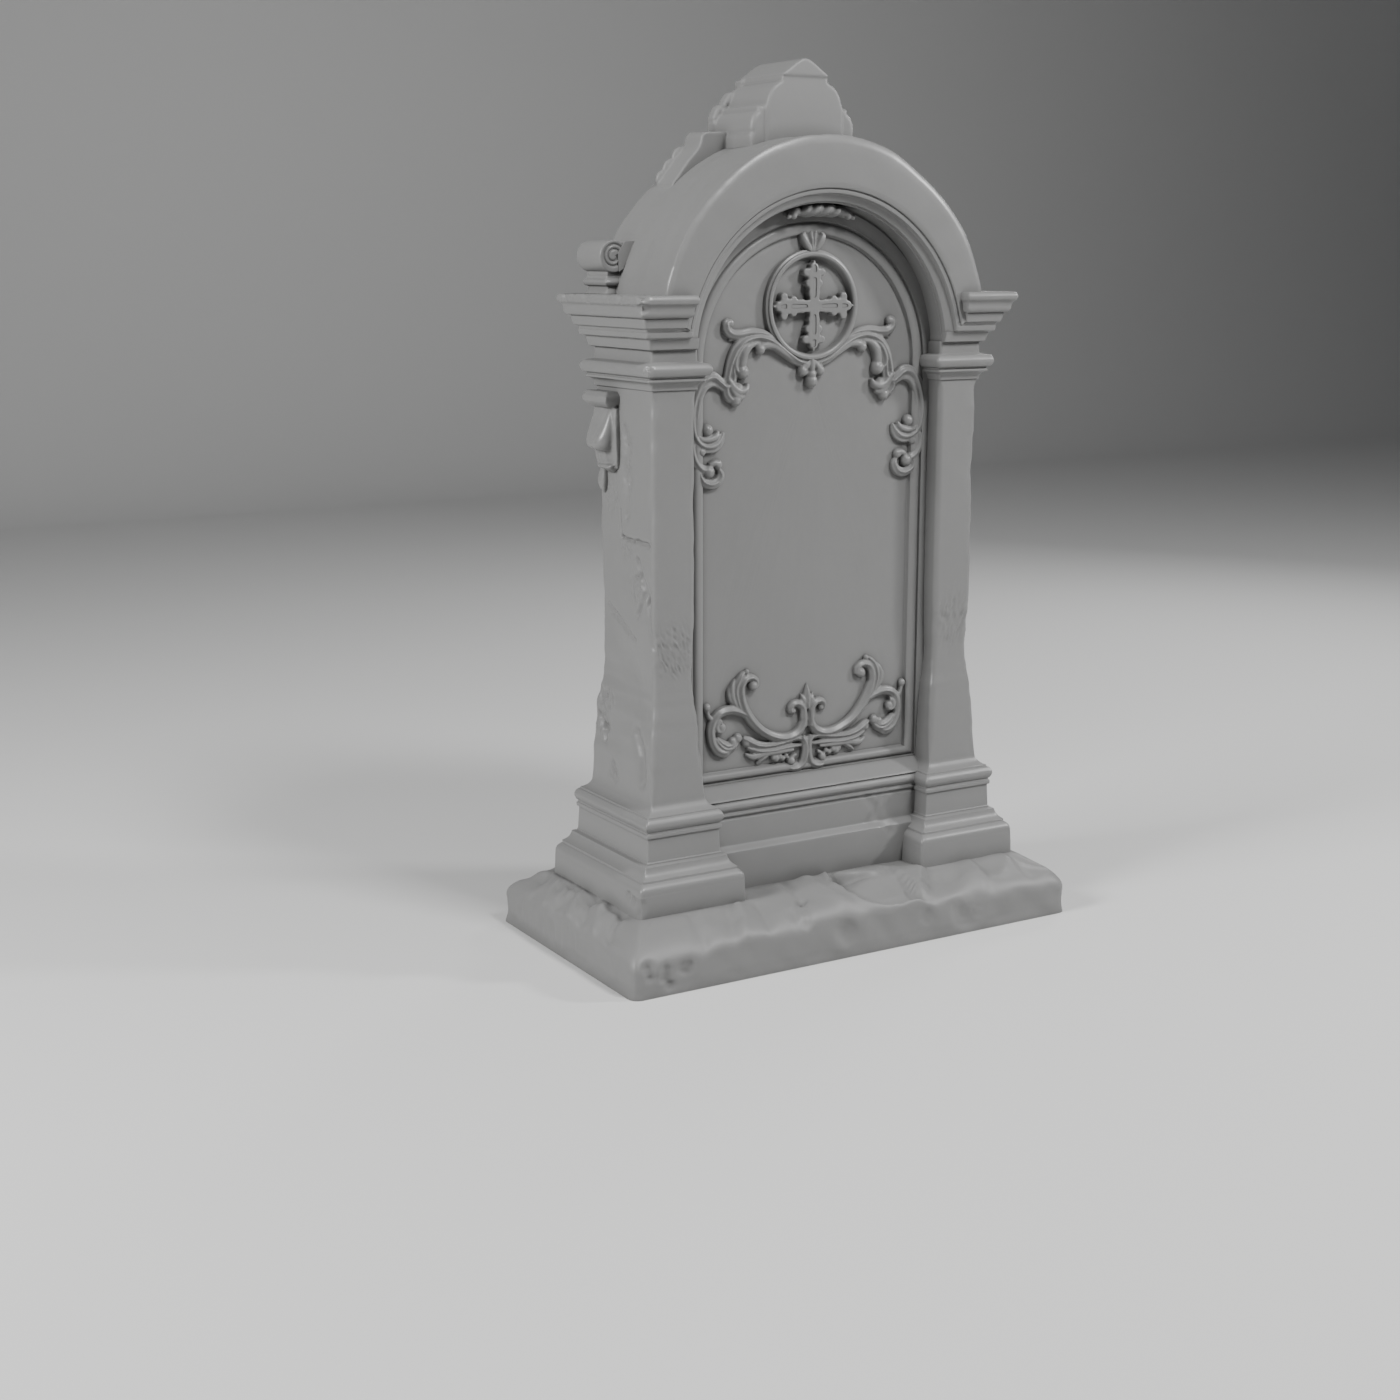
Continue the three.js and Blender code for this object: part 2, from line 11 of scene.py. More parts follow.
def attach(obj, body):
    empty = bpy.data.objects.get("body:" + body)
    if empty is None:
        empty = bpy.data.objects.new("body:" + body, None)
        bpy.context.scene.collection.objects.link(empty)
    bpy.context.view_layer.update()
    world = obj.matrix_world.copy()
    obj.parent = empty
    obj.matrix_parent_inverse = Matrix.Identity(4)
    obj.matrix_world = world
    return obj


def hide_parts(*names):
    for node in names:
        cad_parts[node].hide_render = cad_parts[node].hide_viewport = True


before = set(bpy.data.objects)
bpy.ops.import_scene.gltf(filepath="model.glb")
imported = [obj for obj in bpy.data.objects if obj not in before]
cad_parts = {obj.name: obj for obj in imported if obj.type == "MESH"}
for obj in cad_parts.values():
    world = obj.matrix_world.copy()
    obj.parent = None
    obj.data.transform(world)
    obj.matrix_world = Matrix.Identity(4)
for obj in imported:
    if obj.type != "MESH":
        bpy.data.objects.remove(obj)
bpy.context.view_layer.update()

bl_info = {
    "name": "Gothic Headstone",
    "version": (1, 0, 0),
    "blender": (4, 5, 0),
    "location": "View3D > Sidebar > Headstone",
    "description": "Builds a carved headstone around its packed solids",
    "category": "Object",
}

# Sizes are in millimetres, as in the solids, and become metres when a piece is finished
MM = 0.001
# Angle in degrees from which an edge of the carving stays crisp
CARVING_SHARP = 60

SLAB_HALF_WIDTH = 500
SLAB_HALF_DEPTH = 270
SEAT = 112

PILASTER_OUTER = 374.5
PILASTER_INNER = 260.5
PILASTER_FRONT = 117.8
FOOT_TOP = 306
CAPITAL_BOTTOM = 1063

ARCH_CENTRE = 1152.5
ARCH_RADIUS = 356
FASCIA_CENTRE = 1110
FASCIA_INNER = 295.5
INTRADOS_CENTRE = 1115
INTRADOS_RADIUS = 275.5
FRAME_CENTRE = 1100
# Front of the sunk ground of the panel, before the middle plane
GROUND = 61

RING_HEIGHT = 1204
CORNICE_TOP = 1227.5
SIDES = ((-1, "left"), (1, "right"))


def smooth(t):
    t = min(1.0, max(0.0, t))
    return t * t * (3 - 2 * t)


def along_table(table, z):
    """The value at z on a smooth line through (z, value) pairs."""
    if z <= table[0][0]:
        return table[0][1]
    for (z0, v0), (z1, v1) in zip(table, table[1:]):
        if z <= z1:
            return v0 + (v1 - v0) * smooth((z - z0) / (z1 - z0))
    return table[-1][1]


def spline(points, steps):
    """Points on a smooth line through the given points (tuples of equal length), ends included."""
    made = []
    last = len(points) - 1
    for i in range(steps + 1):
        place = i / steps * last
        k = min(int(place), last - 1)
        t = place - k
        p0 = points[max(k - 1, 0)]
        p1, p2 = points[k], points[k + 1]
        p3 = points[min(k + 2, last)]
        made.append(tuple(
            0.5 * (2 * b + (c - a) * t + (2 * a - 5 * b + 4 * c - d) * t * t
                   + (3 * b - a - 3 * c + d) * t ** 3)
            for a, b, c, d in zip(p0, p1, p2, p3)
        ))
    return made


def softened(points, radius):
    """A profile of (offset, height) points with every inner corner rounded."""
    steps = 2
    made = [points[0]]
    for a, b, c in zip(points, points[1:], points[2:]):
        a, b, c = Vector(a), Vector(b), Vector(c)
        before, after = (a - b).length, (c - b).length
        reach = min(radius, before * 0.45, after * 0.45)
        start = b + (a - b) * (reach / before)
        end = b + (c - b) * (reach / after)
        for i in range(steps + 1):
            t = i / steps
            made.append(tuple(start * (1 - t) ** 2 + b * 2 * t * (1 - t) + end * t * t))
    made.append(points[-1])
    return made


def spaced(points, longest):
    """The same profile with its long runs divided."""
    made = [points[0]]
    for a, b in zip(points, points[1:]):
        a, b = Vector(a), Vector(b)
        parts = max(1, math.ceil((b - a).length / longest))
        made.extend(tuple(a.lerp(b, i / parts)) for i in range(1, parts + 1))
    return made


def arc(a, b, bulge, steps=6):
    """Points from a to b bowed outwards by bulge, or hollowed where it is negative."""
    a, b = Vector(a), Vector(b)
    side = Vector((b.y - a.y, a.x - b.x)).normalized()
    return [
        tuple(a.lerp(b, i / steps) + side * bulge * math.sin(math.pi * i / steps))
        for i in range(steps + 1)
    ]


def surface(bm, across, along, place, ring=False, caps=True):
    """A sheet or tube of quads: place(i, j) gives each point, with i round the section and j along it."""
    verts = bmesh.ops.create_grid(bm, x_segments=across, y_segments=along, size=1)["verts"]
    width = across + 1
    for index, vert in enumerate(verts):
        i = index % width
        vert.co = place(0 if ring and i == across else i, index // width)
    if ring:
        seam = [verts[j * width + i] for j in range(along + 1) for i in (0, across)]
        bmesh.ops.remove_doubles(bm, verts=seam, dist=1e-4)
        verts = [v for v in verts if v.is_valid]
    if caps:
        edges = {e for v in verts for e in v.link_edges if e.is_boundary}
        bmesh.ops.holes_fill(bm, edges=list(edges), sides=0)
    return verts


def outward(bm):
    """Turns the faces of closed shapes outwards."""
    bmesh.ops.recalc_face_normals(bm, faces=bm.faces)
    bm.normal_update()


def weathered(bm, amount, size, seed):
    """Pushes points in or out along their normals by smooth noise."""
    outward(bm)
    shift = Vector((seed, seed * 0.7, -seed))
    for v in bm.verts:
        v.co += v.normal * (amount * noise.noise(v.co / size + shift))


def rounded_rectangle(x0, x1, y0, y1, radius, counts, corner_steps=4):
    """Plan points anticlockwise from the front left corner; counts are for front, right, back and left."""
    radii = radius if isinstance(radius, (tuple, list)) else (radius,) * 4
    corners = ((x0, y0, 180), (x1, y0, 270), (x1, y1, 0), (x0, y1, 90))
    points = []
    for k, (x, y, start) in enumerate(corners):
        r = radii[k]
        cx = x + r if k in (0, 3) else x - r
        cy = y + r if k in (0, 1) else y - r
        for i in range(corner_steps + 1):
            angle = math.radians(start + 90 * i / corner_steps)
            points.append((cx + r * math.cos(angle), cy + r * math.sin(angle)))
        nx, ny, after = corners[(k + 1) % 4]
        nr = radii[(k + 1) % 4]
        nxc = nx + nr if (k + 1) % 4 in (0, 3) else nx - nr
        nyc = ny + nr if (k + 1) % 4 in (0, 1) else ny - nr
        angle = math.radians(after)
        end = Vector((nxc + nr * math.cos(angle), nyc + nr * math.sin(angle)))
        begin = Vector(points[-1])
        points.extend(tuple(begin.lerp(end, i / counts[k])) for i in range(1, counts[k]))
    return points


def lofted(bm, plans):
    """A closed body through pairs of a plan outline and its height."""
    def place(i, j):
        ring, z = plans[j]
        return Vector((ring[i][0], ring[i][1], z))

    return surface(bm, len(plans[0][0]), len(plans) - 1, place, ring=True)


def mirrored(bm):
    """Turns a piece for the left side into the one for the right."""
    bmesh.ops.scale(bm, verts=bm.verts, vec=(-1, 1, 1))
    bmesh.ops.reverse_faces(bm, faces=bm.faces)


def chipped(bm, chips):
    """Knocks a shallow hollow into the surface for each chip: place, radius and depth."""
    for centre, radius, depth in chips:
        outward(bm)
        centre = Vector(centre)
        for v in bm.verts:
            gap = (v.co - centre).length
            if gap < radius:
                rough = 1 + 0.6 * noise.noise(v.co / 7)
                v.co -= v.normal * depth * (1 - (gap / radius) ** 2) * rough


def finished(bm, name, node, material=None, sharp=38):
    """Turns the mesh into a piece of the object that stands for a node of the solids."""
    bmesh.ops.recalc_face_normals(bm, faces=bm.faces)
    bmesh.ops.scale(bm, verts=bm.verts, vec=(MM, MM, MM))
    mesh = bpy.data.meshes.new(name)
    bm.to_mesh(mesh)
    bm.free()
    mesh.shade_smooth()
    mesh.set_sharp_from_angle(angle=math.radians(sharp))
    piece = bpy.data.objects.new(name, mesh)
    bpy.context.scene.collection.objects.link(piece)
    mesh.materials.append(material or stone_material())
    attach(piece, "root")
    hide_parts(node)
    return piece


def apply_modifiers(piece):
    graph = bpy.context.evaluated_depsgraph_get()
    mesh = bpy.data.meshes.new_from_object(piece.evaluated_get(graph))
    old = piece.data
    piece.modifiers.clear()
    piece.data = mesh
    bpy.data.meshes.remove(old)


def blended(piece, voxel, smoothing=2, sharp=CARVING_SHARP):
    """Joins overlapping carved shapes of a piece into one skin."""
    remesh = piece.modifiers.new("join", "REMESH")
    remesh.mode = "VOXEL"
    remesh.voxel_size = voxel * MM
    remesh.use_smooth_shade = True
    soften = piece.modifiers.new("soften", "SMOOTH")
    soften.iterations = smoothing
    soften.factor = 0.4
    apply_modifiers(piece)
    piece.data.shade_smooth()
    piece.data.set_sharp_from_angle(angle=math.radians(sharp))


# Stone

# Near-black of the painted shade that darkens hollows found by ambient occlusion, and the pale tone of worn
# edges
PAINTED_SHADE = (0.045, 0.044, 0.042, 1.0)
WORN = (0.30, 0.30, 0.295, 1.0)
# The spread of the grain that is used, and how far it moves the tone and the roughness
GRAIN_LOW, GRAIN_HIGH = 0.3, 0.7
TONE_SPREAD = 0.04
ROUGHNESS_SPREAD = 0.03
ROUGH_STONE_DULLER = 0.16


def new_group(name, inputs, outputs):
    group = bpy.data.node_groups.new(name, "ShaderNodeTree")
    for label, kind, default in inputs:
        socket = group.interface.new_socket(name=label, in_out="INPUT", socket_type=kind)
        if default is not None:
            socket.default_value = default
    for label, kind in outputs:
        group.interface.new_socket(name=label, in_out="OUTPUT", socket_type=kind)
    return group


def node(tree, kind, inputs=(), **settings):
    made = tree.nodes.new(kind)
    for key, value in settings.items():
        setattr(made, key, value)
    for key, value in dict(inputs).items():
        if hasattr(value, "is_output"):
            tree.links.new(value, made.inputs[key])
        else:
            made.inputs[key].default_value = value
    return made


def added(tree, value, share, rest, clamp=False):
    """A share of a value on top of the rest."""
    inputs = {0: value, 1: share, 2: rest}
    return node(tree, "ShaderNodeMath", inputs, operation="MULTIPLY_ADD", use_clamp=clamp)


def spread(tree, value, middle, reach):
    """The grain as a number that stays within reach of the middle."""
    return node(tree, "ShaderNodeMapRange", {
        "Value": value, "From Min": GRAIN_LOW, "From Max": GRAIN_HIGH,
        "To Min": middle - reach, "To Max": middle + reach,
    })


def tinted(tree, mask, share, base, colour):
    """The base colour turned towards another by a share of a mask."""
    amount = node(tree, "ShaderNodeMath", {0: mask, 1: share}, operation="MULTIPLY")
    inputs = {"Factor": amount.outputs[0], 6: base, 7: colour}
    return amount, node(tree, "ShaderNodeMix", inputs, data_type="RGBA")


def grain_group():
    """Fine speckle and soft clouds of the stone, as a mask from 0 to 1 and a height."""
    group = new_group(
        "Stone grain",
        [("Speckle size", "NodeSocketFloat", 520.0), ("Cloud size", "NodeSocketFloat", 5.0)],
        [("Tone", "NodeSocketFloat"), ("Height", "NodeSocketFloat")],
    )
    start = node(group, "NodeGroupInput")
    place = node(group, "ShaderNodeTexCoord")
    spot = place.outputs["Object"]
    speckle = node(group, "ShaderNodeTexNoise", {"Vector": spot, "Scale": start.outputs[0]})
    cloud = node(group, "ShaderNodeTexNoise", {"Vector": spot, "Scale": start.outputs[1], "Detail": 5.0})
    fleck = node(group, "ShaderNodeTexNoise", {"Vector": spot, "Scale": 90.0, "Detail": 4.0})
    mix = node(group, "ShaderNodeMath", {0: speckle.outputs[0], 1: 0.35}, operation="MULTIPLY")
    add = added(group, cloud.outputs[0], 0.45, mix.outputs[0])
    both = added(group, fleck.outputs[0], 0.2, add.outputs[0])
    end = node(group, "NodeGroupOutput")
    group.links.new(both.outputs[0], end.inputs["Tone"])
    height = added(group, fleck.outputs[0], 0.6, mix.outputs[0])
    group.links.new(height.outputs[0], end.inputs["Height"])
    return group


def edge_group():
    """How worn an edge is and how deep a hollow is, from the roundness of the surface; the hollow mask sets
    where shade is painted.
    """
    group = new_group(
        "Edge and hollow",
        [("Reach", "NodeSocketFloat", 0.006)],
        [("Edge", "NodeSocketFloat"), ("Hollow", "NodeSocketFloat")],
    )
    start = node(group, "NodeGroupInput")
    hollow = node(group, "ShaderNodeAmbientOcclusion", {"Distance": 0.03}, samples=6)
    edge = node(group, "ShaderNodeAmbientOcclusion", {"Distance": start.outputs[0]}, samples=6, inside=True)
    end = node(group, "NodeGroupOutput")
    for source, target in ((edge, "Edge"), (hollow, "Hollow")):
        inverse = node(group, "ShaderNodeMath", {0: 1.0, 1: source.outputs["AO"]}, operation="SUBTRACT")
        group.links.new(inverse.outputs[0], end.inputs[target])
    return group


def stone_material(name="Rubbed grey stone", duller=0.0):
    known = bpy.data.materials.get(name)
    if known:
        return known
    settings = bpy.context.scene.headstone_stone
    material = bpy.data.materials.new(name)
    material.use_nodes = True
    tree = material.node_tree
    shader = tree.nodes["Principled BSDF"]
    grain = node(tree, "ShaderNodeGroup", node_tree=grain_group())
    edges = node(tree, "ShaderNodeGroup", node_tree=edge_group())
    tone = spread(tree, grain.outputs["Tone"], 1, TONE_SPREAD)
    colour = {0: tuple(settings.colour), "Scale": tone.outputs[0]}
    base = node(tree, "ShaderNodeVectorMath", colour, operation="SCALE")
    # Painted shade: hollows found by ambient occlusion are darkened towards near-black, and the same share
    # makes them duller further down
    painted_shade_share, dark = tinted(tree, edges.outputs["Hollow"], settings.hollow_painted_shade, base.outputs[0], PAINTED_SHADE)
    _, worn = tinted(tree, edges.outputs["Edge"], settings.edge_wear, dark.outputs[2], WORN)
    tree.links.new(worn.outputs[2], shader.inputs["Base Color"])
    rough = spread(tree, grain.outputs["Tone"], settings.roughness + duller, ROUGHNESS_SPREAD)
    matt = added(tree, painted_shade_share.outputs[0], settings.hollow_dullness, rough.outputs[0], clamp=True)
    tree.links.new(matt.outputs[0], shader.inputs["Roughness"])
    bump = node(tree, "ShaderNodeBump", {
        "Height": grain.outputs["Height"], "Strength": 0.05, "Distance": 0.0005,
    })
    tree.links.new(bump.outputs[0], shader.inputs["Normal"])
    return material


def rough_stone():
    """The duller finish of the slab and the crest."""
    return stone_material("Rough grey stone", ROUGH_STONE_DULLER)


class HeadstoneStone(bpy.types.PropertyGroup):
    """Finish of the stone, with the painted shade in its hollows"""

    colour: FloatVectorProperty(
        name="Colour", description="Base colour of the stone", subtype="COLOR", size=3,
        default=(0.17, 0.17, 0.168), min=0, max=1,
    )
    roughness: FloatProperty(
        name="Roughness", description="How dull the rubbed surface is", default=0.36, min=0, max=1,
    )
    edge_wear: FloatProperty(
        name="Edge wear", description="How pale worn edges are", default=0.05, min=0, max=1,
    )
    # Strength of the painted shade in hollows
    hollow_painted_shade: FloatProperty(
        name="Hollow painted shade", description="How dark hollows are", default=0.65, min=0, max=1,
    )
    # Extra roughness in hollows, following the mask of the painted shade
    hollow_dullness: FloatProperty(
        name="Hollow dullness", description="How dull hollows are where shade is painted", default=2.6, min=0, max=5,
    )


class HeadstoneSizes(bpy.types.PropertyGroup):
    """Wear and fineness of the carving"""

    surface_wear: FloatProperty(
        name="Surface wear", description="Depth of the soft unevenness, in millimetres",
        default=0.7, min=0, max=4,
    )
    arris: FloatProperty(
        name="Arris", description="Rounding of moulding edges, in millimetres", default=1.3, min=0.2,
    )
    relief_voxel: FloatProperty(
        name="Relief fineness", description="Size of the smallest carved detail, in millimetres",
        default=1.5, min=0.8,
    )


# Ground slab

SLAB_AROUND = (180, 96, 110, 96)
# Height of the front rim along x; the other rims sway about one height
RIM_FRONT = (
    (-500, 78), (-360, 88), (-234, 94), (-100, 98), (40, 94), (178, 95), (325, 90), (450, 84), (500, 76),
)
RIM_HEIGHT = 80
RIM_SWAY = 8
CORNER = 20
# The front left corner is worn smooth: middle and half sizes of the calm patch
CALM_X, CALM_Y = -440, -235
CALM_HALF_X, CALM_HALF_Y = 90, 70
# Height and length of the top's lumps, and the height of its slanting folds
LUMP_HEIGHT, LUMP_LENGTH = 8, 130
FOLD_HEIGHT = 6
# Left of here the top has small creases too, of this height
CREASED_X = -400
CREASE_HEIGHT = 4
# How far the lines of the ledges and ridges stray, and how much stronger the ridges are than listed
STRAY = 5
RIDGE_DEPTH = 1.4
# Height of the slab's middle, and the lowest and highest of its seat
MIDDLE_HEIGHT = 117
SEAT_LOWEST = 112.5
SEAT_HIGHEST = 114
# Rounding of the rim: its middle size, how far that varies, and how much of it is height
RIM_ROUND = 38
RIM_ROUND_SWAY = 11
RIM_DROP = 0.75


def nearest_on(x, y, points):
    """Distance from a line of points, whether its right side is meant, and whether an end is nearest."""
    best = (1e9, False, False)
    last = len(points) - 2
    for k, ((ax, ay), (bx, by)) in enumerate(zip(points, points[1:])):
        dx, dy = bx - ax, by - ay
        t = ((x - ax) * dx + (y - ay) * dy) / (dx * dx + dy * dy)
        end = (k == 0 and t < 0) or (k == last and t > 1)
        t = min(1, max(0, t))
        gap = math.hypot(x - ax - t * dx, y - ay - t * dy)
        if gap < best[0]:
            best = (gap, dx * (y - ay) - dy * (x - ax) < 0, end)
    return best


def ridge(x, y, points, width, rise):
    """A long soft ridge (or hollow, where rise is negative) along a line of points."""
    return rise * math.exp(-((nearest_on(x, y, points)[0] / width) ** 2))


def ledge(x, y, points, drop, reach, lip=3.0):
    """A broken edge along a line: the ground falls away on its right and swells a little on its left."""
    gap, right, end = nearest_on(x, y, points)
    fade = math.exp(-((gap / 9) ** 2)) if end else 1.0
    if right:
        return -drop * smooth(gap / 7) * math.exp(-((gap / reach) ** 2)) * fade
    return lip * math.exp(-((gap / 15) ** 2)) * fade


# Ledges: line, drop, reach of the drop, and height of the lip
SLAB_LEDGES = (
    (((140, -264), (80, -262), (36, -252), (6, -232), (-10, -196), (-2, -160), (14, -124)), 26, 95, 9),
    (((150, -262), (176, -220), (214, -170), (232, -128)), 8, 50, 5),
    (((300, -262), (318, -210), (330, -140)), 6, 44, 5),
    (((404, -250), (410, -200), (404, -150)), 5, 34, 4),
)
# Ridges and grooves: line, width and rise
SLAB_RIDGES = (
    (((-90, -114), (-98, -170), (-104, -214)), 9, -4),
    (((-152, -276), (-138, -236), (-104, -214)), 5, -6),
    (((-126, -276), (-118, -240), (-104, -214)), 4, -5),
    (((-150, -244), (-118, -236)), 4, -4),
    (((-336, -190), (-342, -230), (-352, -276)), 11, -5),
    (((-254, -182), (-268, -226), (-292, -276)), 11, -5),
    (((-230, -182), (-240, -226), (-262, -276)), 9, 3),
    (((-190, -190), (-196, -226), (-206, -262)), 9, -4),
    (((-40, -130), (-46, -190), (-30, -250)), 18, 5),
    (((-486, -160), (-462, -128), (-440, -120)), 7, -7),
    (((-490, -100), (-462, -66), (-438, -60)), 8, 6),
    (((-486, -48), (-458, -20), (-438, -16)), 6, -7),
    (((-492, 0), (-462, 26), (-440, 34)), 8, 6),
    (((-486, 52), (-460, 74), (-438, 80)), 6, -7),
    (((-490, 104), (-462, 126), (-440, 128)), 7, 6),
    (((-486, 150), (-458, 172), (-440, 176)), 6, -6),
    (((-478, -190), (-483, -120), (-478, -60), (-484, 0), (-478, 70), (-484, 150)), 3.6, -6),
    (((-440, -100), (-446, 10), (-438, 134)), 6, -3.5),
)
# Broken hollows: centre, half lengths along and across, turn in degrees, and depth
SLAB_SCOOPS = (
    (-466, 26, 40, 20, 95, 7), (-458, 110, 40, 22, 70, 7), (-468, 190, 44, 24, 110, 9),
    (-448, 238, 40, 22, 20, 8), (92, -196, 60, 26, 12, 5), (250, -214, 44, 24, 52, 5),
    (352, -216, 46, 24, 40, 5), (446, -206, 40, 24, -50, 6), (462, -130, 40, 22, -70, 7),
    (470, 0, 60, 20, -88, 6), (300, 228, 60, 22, 4, 6), (60, 226, 70, 22, -5, 6),
    (-180, 230, 60, 22, 6, 6),
)
# How far the seat of the pilasters lies in from the slab's ends and from its front and back
SEAT_IN_X = 69
SEAT_IN_Y = 95
# Between the feet the seat is only as deep as the wall: half the length and half the depth there
BETWEEN_FEET = 210
WALL_SEAT = 112
SEAT_MARGIN = 12
# Chips on its front edge: place, radius and depth
SLAB_CHIPS = (
    ((-468, -268, 58), 15, 8), ((-464, -268, 40), 12, 6), ((-432, -270, 50), 12, 8),
    ((-434, -270, 34), 13, 7), ((-424, -270, 18), 11, 7), ((-392, -270, 44), 17, 6),
    ((-380, -270, 52), 11, 4), ((-128, -270, 84), 16, 5), ((-40, -270, 50), 30, 5),
    ((150, -270, 52), 22, 4), ((250, -270, 48), 46, 5),
)


def scoop(x, y, middle_x, middle_y, half_long, half_wide, turn, depth):
    """How far a hollow with a crisp edge lowers a point."""
    turn = math.radians(turn)
    dx, dy = x - middle_x, y - middle_y
    along = (dx * math.cos(turn) + dy * math.sin(turn)) / half_long
    across = (dy * math.cos(turn) - dx * math.sin(turn)) / half_wide
    return -depth * max(0.0, 1 - along * along - across * across)


def slab_height(x, y):
    """Height of the rock-like top, before its rim is rounded."""
    inset_x, inset_y = SLAB_HALF_WIDTH - abs(x), SLAB_HALF_DEPTH - abs(y)
    inset = min(inset_x, inset_y)
    share = min(inset_x / SEAT_IN_X, inset_y / SEAT_IN_Y)
    rim = along_table(RIM_FRONT, x) if inset_y <= inset_x else RIM_HEIGHT + RIM_SWAY * math.cos(y / 150)
    rise = (MIDDLE_HEIGHT - rim) * (0.35 * min(1, share) + 0.65 * smooth(share))
    in_patch = ((x - CALM_X) / CALM_HALF_X) ** 2 + ((y - CALM_Y) / CALM_HALF_Y) ** 2
    calm = 1 - 0.9 * math.exp(-in_patch ** 2)
    spot = Vector((x / LUMP_LENGTH + 3, y / LUMP_LENGTH + 1, 0))
    lumps = LUMP_HEIGHT * noise.fractal(spot, 1.2, 2.1, 2)
    turned = smooth((CREASED_X - x) / 50)
    slant = Vector(((0.83 * x - 0.55 * y) / 60, (0.55 * x + 0.83 * y) / 150, 5 + 3 * turned))
    folds = FOLD_HEIGHT * noise.noise(slant)
    folds += CREASE_HEIGHT * turned * noise.noise(Vector((x / 60, y / 26, 9)))
    height = rim + rise + (lumps + folds) * calm * smooth(inset / 40 + 0.2)
    stray_x = x + STRAY * noise.noise(Vector((x / 26, y / 26, 2)))
    stray_y = y + STRAY * noise.noise(Vector((x / 26, y / 26, 5)))
    height += sum(ledge(stray_x, stray_y, *one) for one in SLAB_LEDGES)
    height += RIDGE_DEPTH * sum(ridge(stray_x, stray_y, *one) for one in SLAB_RIDGES)
    wave = 9 * noise.noise(Vector((x / 50, y / 50, 12)))
    height += sum(scoop(x + wave, y - wave, *one) for one in SLAB_SCOOPS)
    between_feet = smooth((BETWEEN_FEET - abs(x)) / 20)
    seat_y = SEAT_IN_Y + (SLAB_HALF_DEPTH - WALL_SEAT - SEAT_IN_Y) * between_feet
    insets = (inset_x - SEAT_IN_X, inset_y - seat_y)
    seat = min(smooth((inset + SEAT_MARGIN) / 10) for inset in insets)
    return max(height * (1 - seat) + min(height, SEAT_HIGHEST) * seat, SEAT_LOWEST * seat)


def rubbed(bm, verts, times):
    """Smooths the marks on some of the surface."""
    for _ in range(times):
        bmesh.ops.smooth_vert(
            bm, verts=verts, factor=0.5, use_axis_x=True, use_axis_y=True, use_axis_z=True,
        )


def slab_mesh():
    bm = bmesh.new()
    around = rounded_rectangle(-1, 1, -1, 1, 0.0001, SLAB_AROUND)
    count = len(around)
    unit = [(max(-1, min(1, x)), max(-1, min(1, y))) for x, y in around]
    top_steps, round_steps, side_steps = 66, 9, 16
    innermost = 225

    def plan(i, inset):
        hx, hy = SLAB_HALF_WIDTH - inset, SLAB_HALF_DEPTH - inset
        ux, uy = unit[i]
        x, y = ux * hx, uy * hy
        radius = max(CORNER - inset * 0.3, 3)
        over_x, over_y = abs(x) - (hx - radius), abs(y) - (hy - radius)
        if over_x > 0 and over_y > 0:
            length = math.hypot(over_x, over_y)
            reach = max(over_x, over_y)
            x = math.copysign(hx - radius + over_x * reach / length, x)
            y = math.copysign(hy - radius + over_y * reach / length, y)
        return x, y

    edges = []
    for i in range(count):
        x, y = plan(i, 0)
        edges.append(RIM_ROUND + RIM_ROUND_SWAY * noise.noise(Vector((x / 75, y / 75, 4))))

    def place(i, j):
        edge = edges[i]
        if j <= top_steps:
            share = 1 - j / top_steps
            x, y = plan(i, edge + (innermost - edge) * share ** 1.25)
            return Vector((x, y, slab_height(x, y)))
        if j <= top_steps + round_steps:
            turn = (j - top_steps) / round_steps * math.pi / 2
            x, y = plan(i, edge * (1 - math.sin(turn)))
            return Vector((x, y, slab_height(x, y) - edge * RIM_DROP * (1 - math.cos(turn))))
        share = (j - top_steps - round_steps) / side_steps
        x, y = plan(i, 0)
        return Vector((x, y, (slab_height(x, y) - edge * RIM_DROP) * (1 - share)))

    rows = top_steps + round_steps + side_steps
    surface(bm, count, rows, place, ring=True)
    outward(bm)
    for v in bm.verts:
        if v.co.z > 3 and v.normal.z < 0.9:
            side = 1 - abs(v.normal.z)
            folds = noise.noise(Vector((v.co.x / 44 + v.co.z / 90, v.co.y / 44, v.co.z / 60 + 7)))
            low = smooth((v.co.x + 500) / 60) if v.co.y < -200 else 1.0
            on_left = smooth((-480 - v.co.x) / 10) * smooth((v.co.y + 100) / 90)
            creases = noise.noise(Vector((v.co.y / 15, v.co.z / 60, 3))) * on_left
            push = 4.2 * folds * low + 5.0 * creases + 0.8 * noise.fractal(v.co / 26, 1.0, 2.0, 3) - 2.4
            v.co += Vector((v.normal.x, v.normal.y, 0)) * push * side * smooth(v.co.z / 20)
    worn = [v for v in bm.verts if v.co.z > 6]
    rubbed(bm, worn, 3)
    chipped(bm, SLAB_CHIPS)
    rubbed(bm, worn, 1)
    for v in bm.verts:
        v.co.x = max(-SLAB_HALF_WIDTH, min(SLAB_HALF_WIDTH, v.co.x))
        v.co.y = max(-SLAB_HALF_DEPTH, min(SLAB_HALF_DEPTH, v.co.y))
    return bm


class HEADSTONE_OT_slab(bpy.types.Operator):
    """Builds the rough-topped ground slab"""

    bl_idname = "headstone.slab"
    bl_label = "Ground slab"

    def execute(self, context):
        finished(slab_mesh(), "ground_slab", "base_slab", rough_stone(), sharp=70)
        return {"FINISHED"}


# Pilasters

